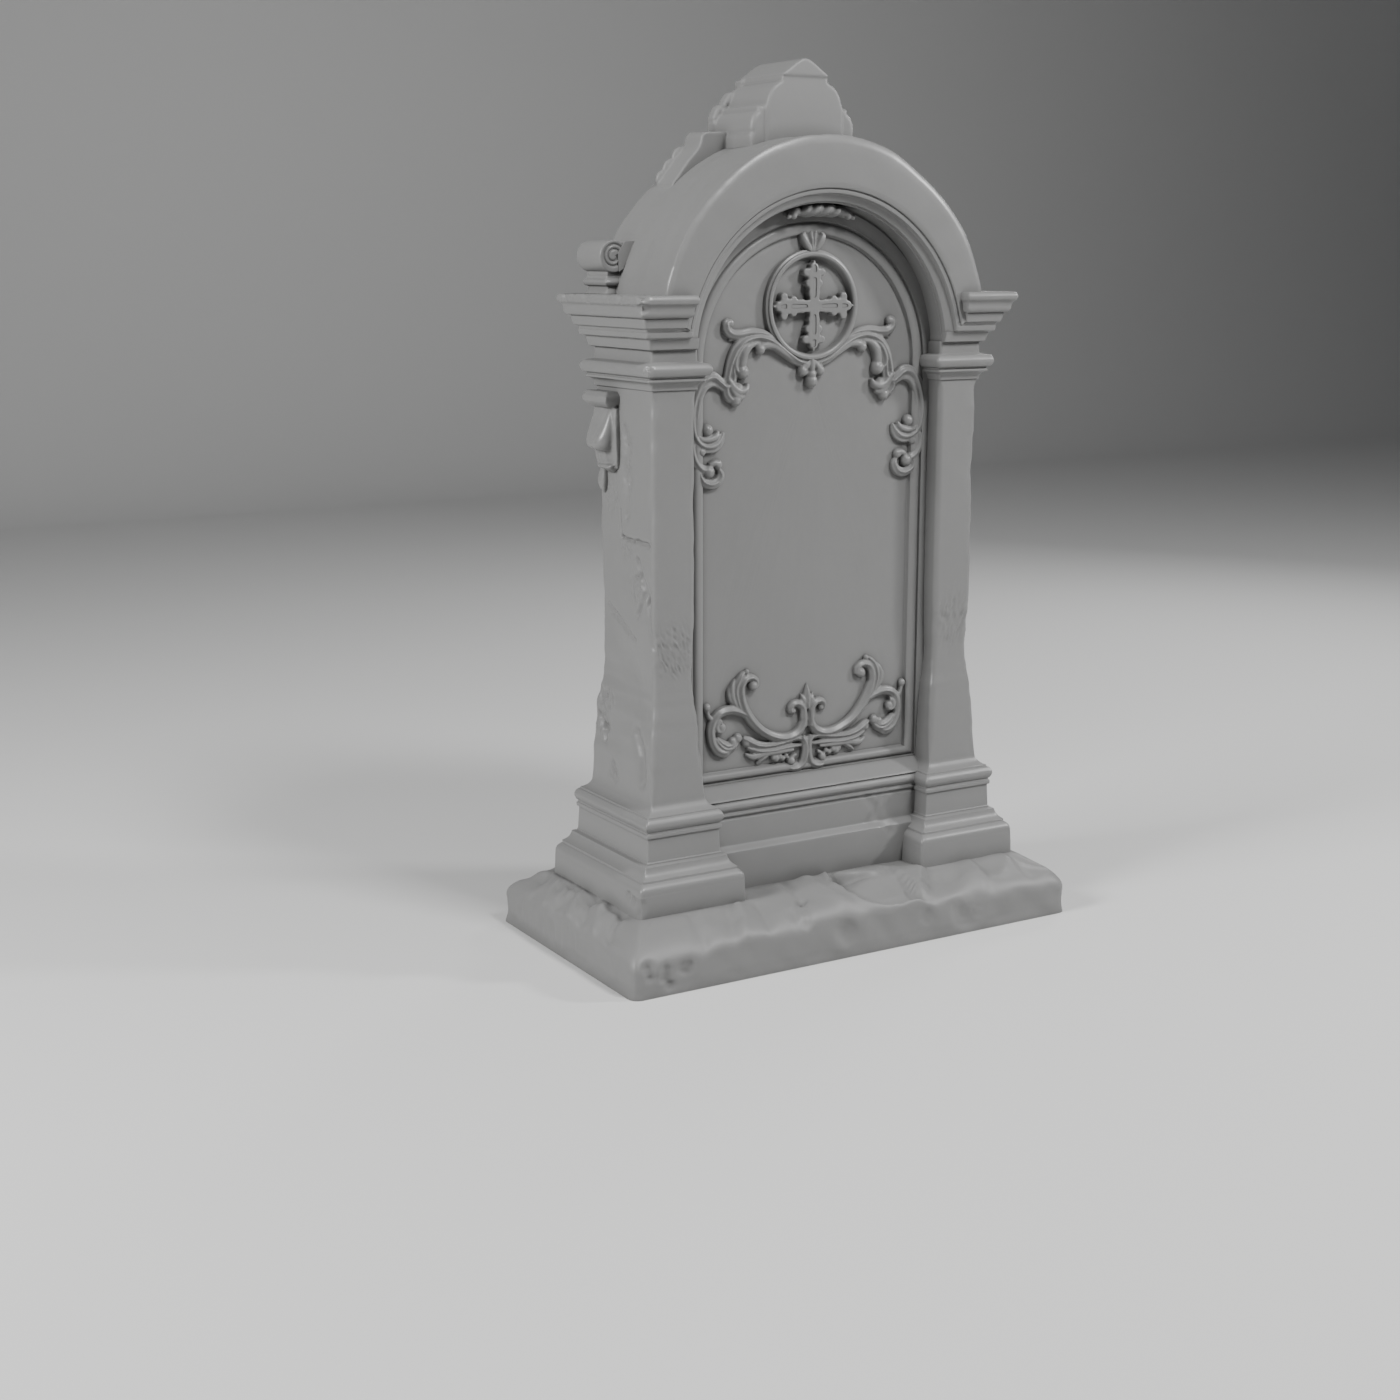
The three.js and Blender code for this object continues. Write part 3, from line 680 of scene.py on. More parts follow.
FOOT_PROFILE = [
    (56.7, SEAT - 2), (55.4, 154), *arc((55.1, 156), (46, 175.5), 3.2), (44.8, 176), (44.8, 180.5),
    *arc((43.5, 181), (30.6, 199.5), -2.6), (30.4, 201.5), (22.5, 203), (22.5, 206.3), (21.1, 207.5),
    (19.2, 251), (23, 252.6), (23, 259.6), (20.8, 260.6), (20.8, 264.6),
    *arc((22.6, 265.2), (20.5, 287.2), 4.8, 8), (17.5, 288), (17.5, 291),
    *arc((14, 292), (0.8, FOOT_TOP), -1.8),
]
HEAD_PROFILE = [
    (-12, CAPITAL_BOTTOM - 2), (-8.6, CAPITAL_BOTTOM - 1.4), *arc((-8.4, 1064), (-1.5, 1076.1), -2.2),
    (3.1, 1077.2), (3.1, 1081.2), (1.2, 1082), (1.2, 1085), (7.4, 1087),
    *arc((8.2, 1088), (7, 1107.5), 4.2, 8), (-9, 1111), (-9.8, 1134.6),
]
# How far the shaft's surface stands out from its drawn face, up its height, and the same for its back edge
SHAFT_WEAR = (
    (306, 0), (330, -0.8), (372, -2), (413, -4.8), (454, -7.8), (494, -13.1), (515, -15.2), (540, -16.4),
    (575, -14.9), (616, -13), (656, -12.5), (1063, -12),
)
BACK_EDGE = (
    (306, 0), (345, -0.6), (374, 0.6), (404, -3.9), (434, -5.6), (463, -4.4), (493, -7.5), (523, -14.7),
    (552, -17.8), (610, -21), (640, -21.2), (700, -18.8), (780, -18), (815, -16.9), (845, -18.5),
    (895, -17.5), (1063, -12),
)
# Steps on the front, inner, back and outer sides, and the spacing up the shaft, for the near and far pilaster
FINE_COUNTS, FINE_STEP = (40, 14, 12, 88), 3.0
PLAIN_COUNTS, PLAIN_STEP = (36, 12, 12, 24), 4.5


def pilaster_plan(offset, z):
    """Inner, outer and front planes at a height, and how round the corners are."""
    arris = 2.2
    if FOOT_TOP < z < CAPITAL_BOTTOM:
        arris += 8 * smooth((z - FOOT_TOP) / 60) * smooth((CAPITAL_BOTTOM - z) / 20)
    elif z > CAPITAL_BOTTOM:
        arris = 5.0
    elif z < 180:
        arris = 4.5
    return PILASTER_INNER - offset, PILASTER_OUTER + offset, PILASTER_FRONT + offset, arris


# Marks on the left outer side: line of (distance before the middle plane, height), width and depth
SIDE_MARKS = (
    (((-20, 838), (-18, 808), (-14, 790)), 3.2, 3.0),
    (((-14, 790), (30, 787), (70, 788), (92, 785)), 3.4, 4.2),
    (((2, 985), (8, 940), (0, 900), (9, 868), (4, 830)), 8, 4.2),
    (((20, 965), (16, 920), (22, 890)), 6, 1.8),
    (((46, 752), (56, 730), (70, 712), (84, 684)), 7.5, 5.5),
    (((70, 694), (58, 668), (46, 652)), 5, 3.6),
    (((58, 728), (30, 716)), 4.5, 3),
    (((84, 684), (90, 640), (98, 600)), 6, 3.4),
    (((-78, 656), (-20, 634), (36, 604)), 3.4, 2.2),
    (((-66, 640), (-10, 624), (10, 610)), 3.0, 1.8),
    (((-94, 440), (-78, 424), (-60, 420)), 7, 5),
    (((-78, 424), (-66, 398)), 6, 4),
    (((50, 430), (74, 392), (78, 346)), 12, 6),
    (((-30, 352), (-24, 326)), 9, 2.8),
    (((-100, 500), (-86, 474)), 10, 4),
    (((20, 560), (50, 520), (66, 470)), 26, 3),
)
MARK_DEPTH = 1.35
# Pecked patches on the same side: middle, and half sizes across and up
HATCHES = (
    ((-52, 858), 30, 28),
    ((10, 930), 20, 60),
    ((8, 770), 24, 18),
    ((44, 706), 22, 34),
    ((-64, 474), 30, 26),
    ((-76, 424), 30, 24),
    ((-30, 338), 20, 26),
)
# Depth of the rubbing and of the scratches in a pecked patch
PECK_DEPTH, PECK_SCRATCH = 0.8, 3.6
# The scratched patch on the front of each pilaster: middle and half sizes, then depths as above
FRONT_PATCH_X, FRONT_PATCH_Z = -320, 590
FRONT_PATCH_HALF_X, FRONT_PATCH_HALF_Z = 50, 56
FRONT_RUB, FRONT_SCRATCH = 0.4, 2.6
# Where the shaft's outer and inner corners are worn, and how far in the wear goes
SHAFT_OUTER, SHAFT_INNER = 362, 268
CORNER_WEAR = 4.0
# Chips on the left pilaster: place, radius and depth
PILASTER_CHIPS = (
    ((-386, -129, 1099), 15, 5), ((-431, -168, 138), 15, 5), ((-431, -148, 142), 12, 4),
    ((-431, -128, 148), 10, 4), ((-431, -166, 122), 12, 4),
)


def hatching(a, b, gap):
    """Fine slanting scratches."""
    return noise.noise(Vector(((a + b * 0.7) / gap, (b - a * 0.7) / (gap * 3.4), 1)))


def side_marks(u, z):
    """Depth of the gouges, cracks and pecked patches at a place on the left side."""
    depth = 0.0
    ragged = 2.6 * noise.noise(Vector((u / 17, z / 17, 3)))
    for line, width, deep in SIDE_MARKS:
        depth += ridge(u + ragged, z + ragged, line, width, deep * MARK_DEPTH)
    for (cu, cz), half_u, half_z in HATCHES:
        inside = math.exp(-(((u - cu) / half_u) ** 2 + ((z - cz) / half_z) ** 2) ** 2)
        if inside > 0.01:
            depth += inside * (PECK_DEPTH + PECK_SCRATCH * hatching(u, z, 5))
    return depth


def pilaster_mesh(side):
    bm = bmesh.new()
    arris = bpy.context.scene.headstone_sizes.arris
    counts, step = (FINE_COUNTS, FINE_STEP) if side < 0 else (PLAIN_COUNTS, PLAIN_STEP)
    levels = int((CAPITAL_BOTTOM - FOOT_TOP - 8) / step)
    shaft = [(along_table(SHAFT_WEAR, z), z) for z in (FOOT_TOP + 5 + k * step for k in range(levels))]
    profile = spaced(softened(FOOT_PROFILE, arris), 9) + shaft + spaced(softened(HEAD_PROFILE, arris), 9)
    plans = []
    for offset, z in profile:
        inner, outer, front, round_edge = pilaster_plan(offset, z)
        plans.append((rounded_rectangle(-outer, -inner, -front, front, round_edge, counts), z))

    def place(i, j):
        ring, z = plans[j]
        x, y = ring[i]
        if x < -PILASTER_OUTER + 60 and FOOT_TOP < z < CAPITAL_BOTTOM:
            x -= (along_table(BACK_EDGE, z) - along_table(SHAFT_WEAR, z)) * smooth((y + 30) / 130)
        return Vector((x, y, z))

    surface(bm, len(plans[0][0]), len(plans) - 1, place, ring=True)
    outward(bm)
    wear = bpy.context.scene.headstone_sizes.surface_wear
    shift = Vector((side * 7.3, 1.1, 0))
    for v in bm.verts:
        z = v.co.z
        on_shaft = smooth((z - 300) / 40) * smooth((1066 - z) / 20)
        across = min(abs(v.co.x + SHAFT_OUTER), abs(v.co.x + SHAFT_INNER))
        across += abs(PILASTER_FRONT - 12 - abs(v.co.y))
        near_corner = math.exp(-((across / 16) ** 2))
        soft = noise.noise(v.co / 48 + shift)
        edge = noise.fractal(Vector((side * 3 + v.co.x / 90, v.co.y / 200, z / 60)), 1.0, 2.0, 2)
        push = wear * soft * (0.5 + on_shaft)
        push -= on_shaft * near_corner * CORNER_WEAR * max(-0.1, edge + 0.1)
        if side < 0 and v.normal.x < -0.5 and on_shaft > 0:
            push -= on_shaft * side_marks(-v.co.y, z)
        if v.normal.y < -0.5 and on_shaft > 0.5:
            from_middle = ((v.co.x - FRONT_PATCH_X) / FRONT_PATCH_HALF_X) ** 2
            from_middle += ((z - FRONT_PATCH_Z) / FRONT_PATCH_HALF_Z) ** 2
            patch = math.exp(-from_middle ** 2)
            push -= patch * (FRONT_RUB + FRONT_SCRATCH * hatching(v.co.x, z, 4.6))
        v.co += v.normal * push
    if side < 0:
        chipped(bm, PILASTER_CHIPS)
    else:
        mirrored(bm)
    return bm


class HEADSTONE_OT_pilasters(bpy.types.Operator):
    """Builds the two worn pilasters with their moulded feet and heads"""

    bl_idname = "headstone.pilasters"
    bl_label = "Pilasters"

    def execute(self, context):
        for side, word in SIDES:
            finished(pilaster_mesh(side), word + "_pilaster", "stele")
        return {"FINISHED"}


# Cornice and fascias over each pilaster

LOWER_STEP = [(-14, 1130), (-1.5, 1133.8), (-1.2, 1136), (2.6, 1151), (3, 1153)]
UPPER_STEP = [(-2, 1150), (11.2, 1154.4), (12.6, 1163.6), (11.4, 1164.6), (11.8, 1166.2), (13.6, 1170.2)]
CORNICE = [
    (8, 1168), (19.1, 1171.7), (19.4, 1173.5), (22.9, 1187.2), (22, 1188.4), (27.7, 1189.6),
    *arc((29.5, 1191), (32.5, 1200.5), 1.2), *arc((32.8, 1202.5), (38.6, 1212), -1.6),
    *arc((40.2, 1213.3), (38.8, 1226), 2.2), (36.5, CORNICE_TOP),
]
# Inner end of each step, where it meets the arch
LOWER_INNER = INTRADOS_RADIUS - 2
UPPER_INNER = FASCIA_INNER - 3
CORNICE_INNER = 316
# How far the cornice's inner end returns towards the middle for each millimetre that it stands forward
CORNICE_RETURN = 0.62
# Chips on the left cornice: place, radius and depth
CORNICE_CHIPS = (((-412, -156, 1223), 16, 6), ((-405, -150, 1206), 12, 4))


def entablature_mesh(side, profile, inner, return_share):
    bm = bmesh.new()
    sizes = bpy.context.scene.headstone_sizes
    worn_cornice = side < 0 and profile is CORNICE
    profile = spaced(softened(profile, sizes.arris), 6)
    start = profile[0][0]
    counts = (26, 12, 10, 52)
    corners = (4.6, 2, 2, 4.6)
    plans = []
    for offset, z in profile:
        front = PILASTER_FRONT + offset
        end = inner - (offset - start) * return_share
        ring = rounded_rectangle(-PILASTER_OUTER - offset, -end, -front, front, corners, counts)
        plans.append((ring, z))
    lofted(bm, plans)
    weathered(bm, sizes.surface_wear * 0.6, 40, seed=side * 4.0)
    if worn_cornice:
        outward(bm)
        for v in bm.verts:
            if v.co.x < -395 and v.co.z > 1212:
                nick = max(0, noise.noise(Vector((v.co.y / 11, v.co.z / 40, 8))) - 0.05)
                v.co -= v.normal * 5.5 * nick
        chipped(bm, CORNICE_CHIPS)
    if side > 0:
        mirrored(bm)
    return bm


class HEADSTONE_OT_entablature(bpy.types.Operator):
    """Builds the stepped fascias and the cornice over both pilasters"""

    bl_idname = "headstone.entablature"
    bl_label = "Fascias and cornice"

    def execute(self, context):
        steps = (
            ("lower_fascia", LOWER_STEP, LOWER_INNER, 0),
            ("upper_fascia", UPPER_STEP, UPPER_INNER, 0),
            ("cornice", CORNICE, CORNICE_INNER, CORNICE_RETURN),
        )
        for side, word in SIDES:
            for name, profile, inner, return_share in steps:
                bm = entablature_mesh(side, profile, inner, return_share)
                finished(bm, f"{word}_{name}", "stele")
        return {"FINISHED"}


# Wall under the panel

WALL_PROFILE = [
    (110, SEAT - 2), (110, 189), (108.5, 191), (100, 199), (99, 201), (99, 249), (98, 251), (95.5, 252.5),
    (95.5, 256), (100.5, 258), (100.5, 262), (98, 263), (98, 266),
    *arc((99.5, 267), (99.8, 284.5), 4.4, 8), (97.5, 285), (97.5, 287.5), (101, 288.5), (76, 311),
    (72, 313.5), (66, 314),
]
WALL_HALF_WIDTH = 283
# Marks on the apron: line, width and depth
APRON_MARKS = (
    (((122, 252), (140, 232), (150, 205), (172, 176)), 7, 2.8),
    (((150, 250), (143, 222), (128, 200)), 5, 2.2),
    (((165, 246), (158, 226)), 5, 1.8),
)


def lower_wall_mesh():
    bm = bmesh.new()
    sizes = bpy.context.scene.headstone_sizes
    profile = spaced(softened(WALL_PROFILE, sizes.arris), 5)
    across = 96
    section = [(-depth, z) for depth, z in profile] + [(depth, z) for depth, z in reversed(profile)]

    def place(i, j):
        y, z = section[i]
        return Vector((-WALL_HALF_WIDTH + 2 * WALL_HALF_WIDTH * j / across, y, z))

    surface(bm, len(section), across, place, ring=True)
    outward(bm)
    for v in bm.verts:
        push = sizes.surface_wear * noise.noise(v.co / 45)
        if v.co.y < -90 and v.co.x > 90:
            rough = 2.5 * noise.noise(v.co / 18)
            for line, width, deep in APRON_MARKS:
                push -= ridge(v.co.x + rough, v.co.z + rough, line, width, deep)
        v.co += v.normal * push
    return bm


# Wall behind the scrollwork: margin, roll of the frame and sunk ground, all round-headed.
# Each point of the section: half width, height of its bottom, and depth

PANEL_SECTION = [
    (284, 312, 69.5), (262, 313, 69.5), (258.4, 316, 70), (257, 317, 65), (255, 318.8, 64.6),
    (253, 320.4, 67.8), (250, 323, 69.8), (246, 326, 70.6), (242, 329, 70.4), (238, 332.4, 69.2),
    (235, 334.6, 67), (233.6, 336, 61.5), (231.8, 338, GROUND - 1.2), (227, 343, GROUND),
]
PANEL_BACK = [(284, 312, -66), (240, 330, -66), (236, 332, -61), (120, 520, -61)]
# Steps up each jamb, round the head and along the sill
JAMB_STEPS, HEAD_STEPS, SILL_STEPS = 60, 90, 70


def headed(radius, bottom, step):
    """A point on a round-headed outline, in steps from the bottom left corner."""
    if step < JAMB_STEPS:
        return Vector((-radius, 0, bottom + (FRAME_CENTRE - bottom) * step / JAMB_STEPS))
    step -= JAMB_STEPS
    if step < HEAD_STEPS:
        angle = math.pi * (1 - step / HEAD_STEPS)
        return Vector((radius * math.cos(angle), 0, FRAME_CENTRE + radius * math.sin(angle)))
    step -= HEAD_STEPS
    if step < JAMB_STEPS:
        return Vector((radius, 0, FRAME_CENTRE - (FRAME_CENTRE - bottom) * step / JAMB_STEPS))
    step -= JAMB_STEPS
    return Vector((radius - 2 * radius * step / SILL_STEPS, 0, bottom))


def panel_mesh():
    bm = bmesh.new()
    around = 2 * JAMB_STEPS + HEAD_STEPS + SILL_STEPS
    ground_rings = 30
    middle = 4
    section = spaced(PANEL_SECTION, 8)
    radius, bottom, _ = section[-1]
    for k in range(1, ground_rings + 1):
        share = k / ground_rings
        rise = (FRAME_CENTRE - 40 - bottom) * share
        section.append((radius * (1 - share) + middle * share, bottom + rise, GROUND))
    section = list(reversed(PANEL_BACK)) + section

    def place(i, j):
        radius, bottom, depth = section[j]
        point = headed(radius, bottom, i)
        point.y = -depth
        if depth > 0:
            uneven = 0.9 * noise.fractal(point / 90, 1.0, 2.0, 3) + 0.35 * noise.noise(point / 14)
            point.y += uneven if depth < GROUND + 1 else uneven * 0.4
        return point

    surface(bm, around, len(section) - 1, place, ring=True)
    return bm


class HEADSTONE_OT_wall(bpy.types.Operator):
    """Builds the wall: moulded apron below, and the framed sunk panel above"""

    bl_idname = "headstone.wall"
    bl_label = "Wall and panel"

    def execute(self, context):
        finished(lower_wall_mesh(), "apron_wall", "stele")
        finished(panel_mesh(), "framed_panel", "stele")
        return {"FINISHED"}


# Arch

# Each point of the section: circle radius, circle centre, level where it starts, and depth
ARCH_SECTION = [
    (270, INTRADOS_CENTRE, 1131, 60), (INTRADOS_RADIUS, INTRADOS_CENTRE, 1134, 66),
    (INTRADOS_RADIUS, INTRADOS_CENTRE, 1134, 90), (INTRADOS_RADIUS, INTRADOS_CENTRE, 1134, 103),
    (273.6, INTRADOS_CENTRE, 1134, 104.2), (273.6, INTRADOS_CENTRE, 1134, 106.2),
    (276, INTRADOS_CENTRE, 1134.2, 107.4), (276.4, INTRADOS_CENTRE, 1134.6, 113.5),
    (277.2, 1114.9, 1135.2, 115.6), (279, 1114.7, 1136.4, 116.6), (291, 1111.2, 1150.6, 120),
    (293.6, 1110.4, 1153, 120.6), (294.6, FASCIA_CENTRE, 1154.2, 121.5),
    (295, FASCIA_CENTRE, 1154.6, 127.6), (296, FASCIA_CENTRE, 1155.4, 129),
    (301, FASCIA_CENTRE, 1161.6, 130.2), (302.4, FASCIA_CENTRE, 1163.2, 129.8),
    (303, FASCIA_CENTRE, 1164, 128.9), (304.4, FASCIA_CENTRE, 1165.4, 129),
    (305, FASCIA_CENTRE, 1166, 132.4), (306.4, 1110.4, 1167, 133.8), (312, 1114, 1171, 134.2),
    (330, 1130, 1174, 134.4), (346, 1146, 1174, 134), (352.6, 1151.6, 1174, 132.6),
    (355.4, ARCH_CENTRE, 1174, 129.4), (ARCH_RADIUS, ARCH_CENTRE, 1174, 124),
    (ARCH_RADIUS, ARCH_CENTRE, 1174, 60), (ARCH_RADIUS, ARCH_CENTRE, 1174, 0),
]
# Places where the back of the arch is worn flat: angle, reach in degrees, and depth
ARCH_FLATS = ((52, 13, 7.5), (131, 12, 4))


def arch_mesh():
    bm = bmesh.new()
    sizes = bpy.context.scene.headstone_sizes
    section = ARCH_SECTION + [(r, c, z, -d) for r, c, z, d in reversed(ARCH_SECTION[:-1])]
    dense = [section[0]]
    for a, b in zip(section, section[1:]):
        parts = max(1, math.ceil(math.dist(a, b) / 12))
        dense.extend(tuple(p + (q - p) * i / parts for p, q in zip(a, b)) for i in range(1, parts + 1))
    steps = 220

    def place(i, j):
        radius, centre, bottom, depth = dense[i]
        begin = math.asin((bottom - centre) / radius)
        angle = begin + (math.pi - 2 * begin) * j / steps
        return Vector((radius * math.cos(angle), -depth, centre + radius * math.sin(angle)))

    surface(bm, len(dense), steps, place, ring=True)
    outward(bm)
    for v in bm.verts:
        out = math.hypot(v.co.x, v.co.z - ARCH_CENTRE)
        turn = math.degrees(math.atan2(v.co.z - ARCH_CENTRE, v.co.x))
        outer = smooth((out - 325) / 25)
        flat = sum(depth * math.exp(-(((turn - angle) / reach) ** 2)) for angle, reach, depth in ARCH_FLATS)
        wave = 1.2 * noise.noise(Vector((turn / 9, 0, 6)))
        wave += 0.6 * noise.noise(Vector((turn / 3, v.co.y / 60, 2)))
        shrink = outer * (flat * 0.8 + wave)
        v.co.x -= shrink * v.co.x / max(out, 1)
        v.co.z -= shrink * (v.co.z - ARCH_CENTRE) / max(out, 1)
        streak = noise.noise(Vector((turn / 14, v.co.y / 26 + turn / 30, 11)))
        push = sizes.surface_wear * noise.noise(v.co / 50)
        if out > 350 and abs(v.co.y) < 120:
            push += 1.6 * streak - 0.8
        v.co += v.normal * push
    return bm


class HEADSTONE_OT_arch(bpy.types.Operator):
    """Builds the round arch with its mouldings and soffit"""

    bl_idname = "headstone.arch"
    bl_label = "Arch"

    def execute(self, context):
        finished(arch_mesh(), "arch", "stele")
        return {"FINISHED"}


# Carved shapes on the panel


# How much fuller than their drawn widths and heights the carved shapes are
FULL_WIDTH = 1.2
FULL_HEIGHT = 1.16
FULL_KNOB = 1.12
# Steps round a band, of which the last few are its back, and how deep that back lies under the ground
BAND_STEPS = 16
BAND_BACK_STEPS = 4
BAND_ROOT = 4.0
THINNEST = 0.15


def band(bm, points, widths, heights, lobes=1, groove=0.25, steps=None, mirror=True):
    """A ribbed stem or leaf on the panel: points are (x, z), and widths and heights run along it.
    lobes is the number of ribs across its front, groove how deep the hollows between them are."""
    steps = steps or max(8, 5 * (len(points) - 1))
    path = spline(points, steps)
    wide = spline([(w,) for w in widths], steps)
    high = spline([(h,) for h in heights], steps)
    front = BAND_STEPS - BAND_BACK_STEPS

    def place(i, j):
        x, z = path[j]
        ax, az = path[max(j - 1, 0)]
        bx, bz = path[min(j + 1, steps)]
        length = math.hypot(bx - ax, bz - az) or 1
        nx, nz = (az - bz) / length, (bx - ax) / length
        w = max(wide[j][0] * FULL_WIDTH, THINNEST)
        h = max(high[j][0] * FULL_HEIGHT, THINNEST)
        if i <= front:
            s = math.cos(math.pi * i / front)
            dome = max(0.0, 1 - abs(s) ** 2.4) ** 0.45
            rib = 0.5 + 0.5 * math.cos(math.pi * lobes * (s + 1) + math.pi)
            out = h * dome * (1 - (groove * rib if lobes > 1 else 0))
        else:
            s = -1 + 2 * (i - front) / BAND_BACK_STEPS
            out = -BAND_ROOT
        return Vector((x + nx * w * s, -GROUND - out, z + nz * w * s))

    made = surface(bm, BAND_STEPS, steps, place, ring=True)
    if mirror:
        flipped(bm, made)


def flipped(bm, verts):
    """A mirrored copy of part of the carving, on the other side of the middle plane."""
    faces = list({f for v in verts for f in v.link_faces})
    copy = bmesh.ops.duplicate(bm, geom=faces)["geom"]
    new_verts = [g for g in copy if isinstance(g, bmesh.types.BMVert)]
    new_faces = [g for g in copy if isinstance(g, bmesh.types.BMFace)]
    bmesh.ops.scale(bm, verts=new_verts, vec=(-1, 1, 1))
    bmesh.ops.reverse_faces(bm, faces=new_faces)


def knob(bm, x, z, radius, lift=0.0, squash=1.0, mirror=True):
    """A rounded bud or berry."""
    size = radius * FULL_KNOB
    made = bmesh.ops.create_uvsphere(bm, u_segments=18, v_segments=11, radius=size)["verts"]
    for v in made:
        v.co = Vector((v.co.x + x, v.co.y * squash - GROUND - lift, v.co.z + z))
    if mirror:
        flipped(bm, made)


def curl(bm, x, z, size, turns, start, width, height):
    """A spiral that winds clockwise in to its eye, starting at an angle in degrees."""
    eye = 0.35
    count = max(8, int(turns * 12))
    points = []
    for i in range(count + 1):
        t = i / count
        angle = math.radians(start - 360 * turns * t)
        radius = size * (1 - (1 - eye) * t)
        points.append((x + radius * math.cos(angle), z + radius * math.sin(angle)))
    band(bm, points, (width, width * 0.8, width * 0.5), (height,) * 3, steps=count * 2)


def upper_scrolls(bm):
    # Double band from under the ring out to the junction
    band(bm, [(-6, 1099), (14, 1100), (34, 1106), (54, 1119), (74, 1133), (98, 1145), (122, 1149),
              (146, 1143), (164, 1128), (175, 1108), (181, 1088), (184, 1070)],
         (6, 7, 8, 9, 10, 10, 10, 10, 9, 8, 7, 7), (10, 11, 13, 13, 14, 14, 14, 13, 12, 11), lobes=2,
         groove=0.34)
    band(bm, [(24, 1100), (44, 1108), (64, 1121), (84, 1132), (102, 1134), (116, 1130)],
         (3, 4, 6, 6, 7, 6), (8, 10, 12, 12, 12, 11))
    knob(bm, 114, 1127, 9.5, lift=5)
    # Hooked leaf inside the band
    band(bm, [(116, 1139), (134, 1135), (147, 1122), (151, 1106), (152, 1094)],
         (3, 6, 8, 8, 8), (9, 12, 13, 12, 11))
    band(bm, [(134, 1140), (153, 1132), (165, 1116), (169, 1099), (162, 1087)],
         (4, 7, 8, 8, 6), (9, 13, 13, 13, 11), lobes=2, groove=0.3)
    knob(bm, 151, 1087, 12.5, lift=3)
    # Spur that rises outwards to its small curl
    band(bm, [(84, 1149), (106, 1156), (132, 1158), (156, 1155), (173, 1156), (184, 1164), (185, 1175),
              (178, 1180)],
         (3, 6, 8, 8, 8, 8, 7, 4), (8, 11, 12, 12, 12, 12, 11, 8), lobes=2, groove=0.22)
    knob(bm, 178, 1175, 7.5, lift=4)
    band(bm, [(140, 1151), (160, 1150), (180, 1143)], (4, 5, 1), (9, 8, 3))
    # Hook under the junction, then the long outer scroll
    band(bm, [(172, 1096), (171, 1078), (176, 1066), (188, 1062), (200, 1070), (214, 1079), (230, 1076),
              (244, 1062), (254, 1038), (258, 1010), (256, 984), (248, 966), (232, 955), (212, 955),
              (198, 965), (190, 979)],
         (4, 7, 9, 9, 9, 10, 11, 11, 10, 9, 9, 9, 10, 11, 9, 3),
         (10, 12, 13, 13, 13, 14, 14, 13, 12, 12, 12, 12, 12, 12, 10, 6), lobes=2, groove=0.36, steps=96)
    band(bm, [(198, 1058), (214, 1066), (230, 1060), (242, 1040), (247, 1012), (246, 988)],
         (2, 4, 5, 5, 4, 2), (6, 9, 10, 10, 9, 6))
    knob(bm, 226, 984, 10.5, lift=4)
    band(bm, [(246, 976), (238, 968), (222, 967), (208, 972), (202, 982)],
         (3, 5, 6, 6, 3), (8, 11, 12, 11, 7))
    # Shell of nested leaves below the junction
    band(bm, [(182, 1074), (172, 1060), (158, 1052), (144, 1056), (139, 1066)],
         (5, 7, 7, 6, 3), (12, 14, 14, 12, 8))
    band(bm, [(180, 1066), (170, 1050), (157, 1042), (146, 1044)], (5, 7, 6, 3), (12, 13, 12, 8))
    band(bm, [(186, 1064), (186, 1050), (178, 1040), (166, 1034)], (5, 7, 7, 4), (12, 13, 12, 8), lobes=2)
    knob(bm, 166, 1036, 10.5, lift=4)
    knob(bm, 160, 1056, 11, lift=2)
    # Curls at the foot of the long scroll
    knob(bm, 238, 945, 8, lift=3)
    band(bm, [(256, 960), (256, 942), (250, 926), (238, 914), (226, 912)],
         (5, 7, 8, 8, 7), (9, 11, 12, 12, 11), lobes=2)
    knob(bm, 223, 908, 11, lift=4)
    band(bm, [(242, 906), (236, 892), (220, 885), (204, 889), (196, 901), (200, 912)],
         (4, 7, 8, 8, 7, 4), (9, 12, 12, 12, 11, 8), lobes=2, groove=0.28)
    band(bm, [(222, 920), (208, 924), (198, 917)], (4, 6, 4), (9, 11, 8))
    knob(bm, 203, 921, 8.5, lift=3)
    # Drops under the ring
    band(bm, [(0, 1112), (0, 1096), (0, 1078)], (5, 6, 6), (11, 12, 12), mirror=False)
    band(bm, [(4, 1106), (10, 1097), (18, 1089)], (4, 6, 8), (9, 11, 11))
    knob(bm, 19, 1085, 9.5, lift=4)
    knob(bm, 0, 1066, 12, lift=4, mirror=False)
    knob(bm, 0, 1078, 9, lift=6, mirror=False)
    # Shell that joins the ring to the frame
    band(bm, [(3, 1301), (10, 1310), (18, 1322), (22, 1331), (17, 1338)],
         (4, 6, 7, 6, 3), (8, 11, 12, 11, 8))
    band(bm, [(0, 1298), (0, 1316), (0, 1340)], (3, 7, 15), (9, 11, 9), lobes=3, groove=0.35, mirror=False)


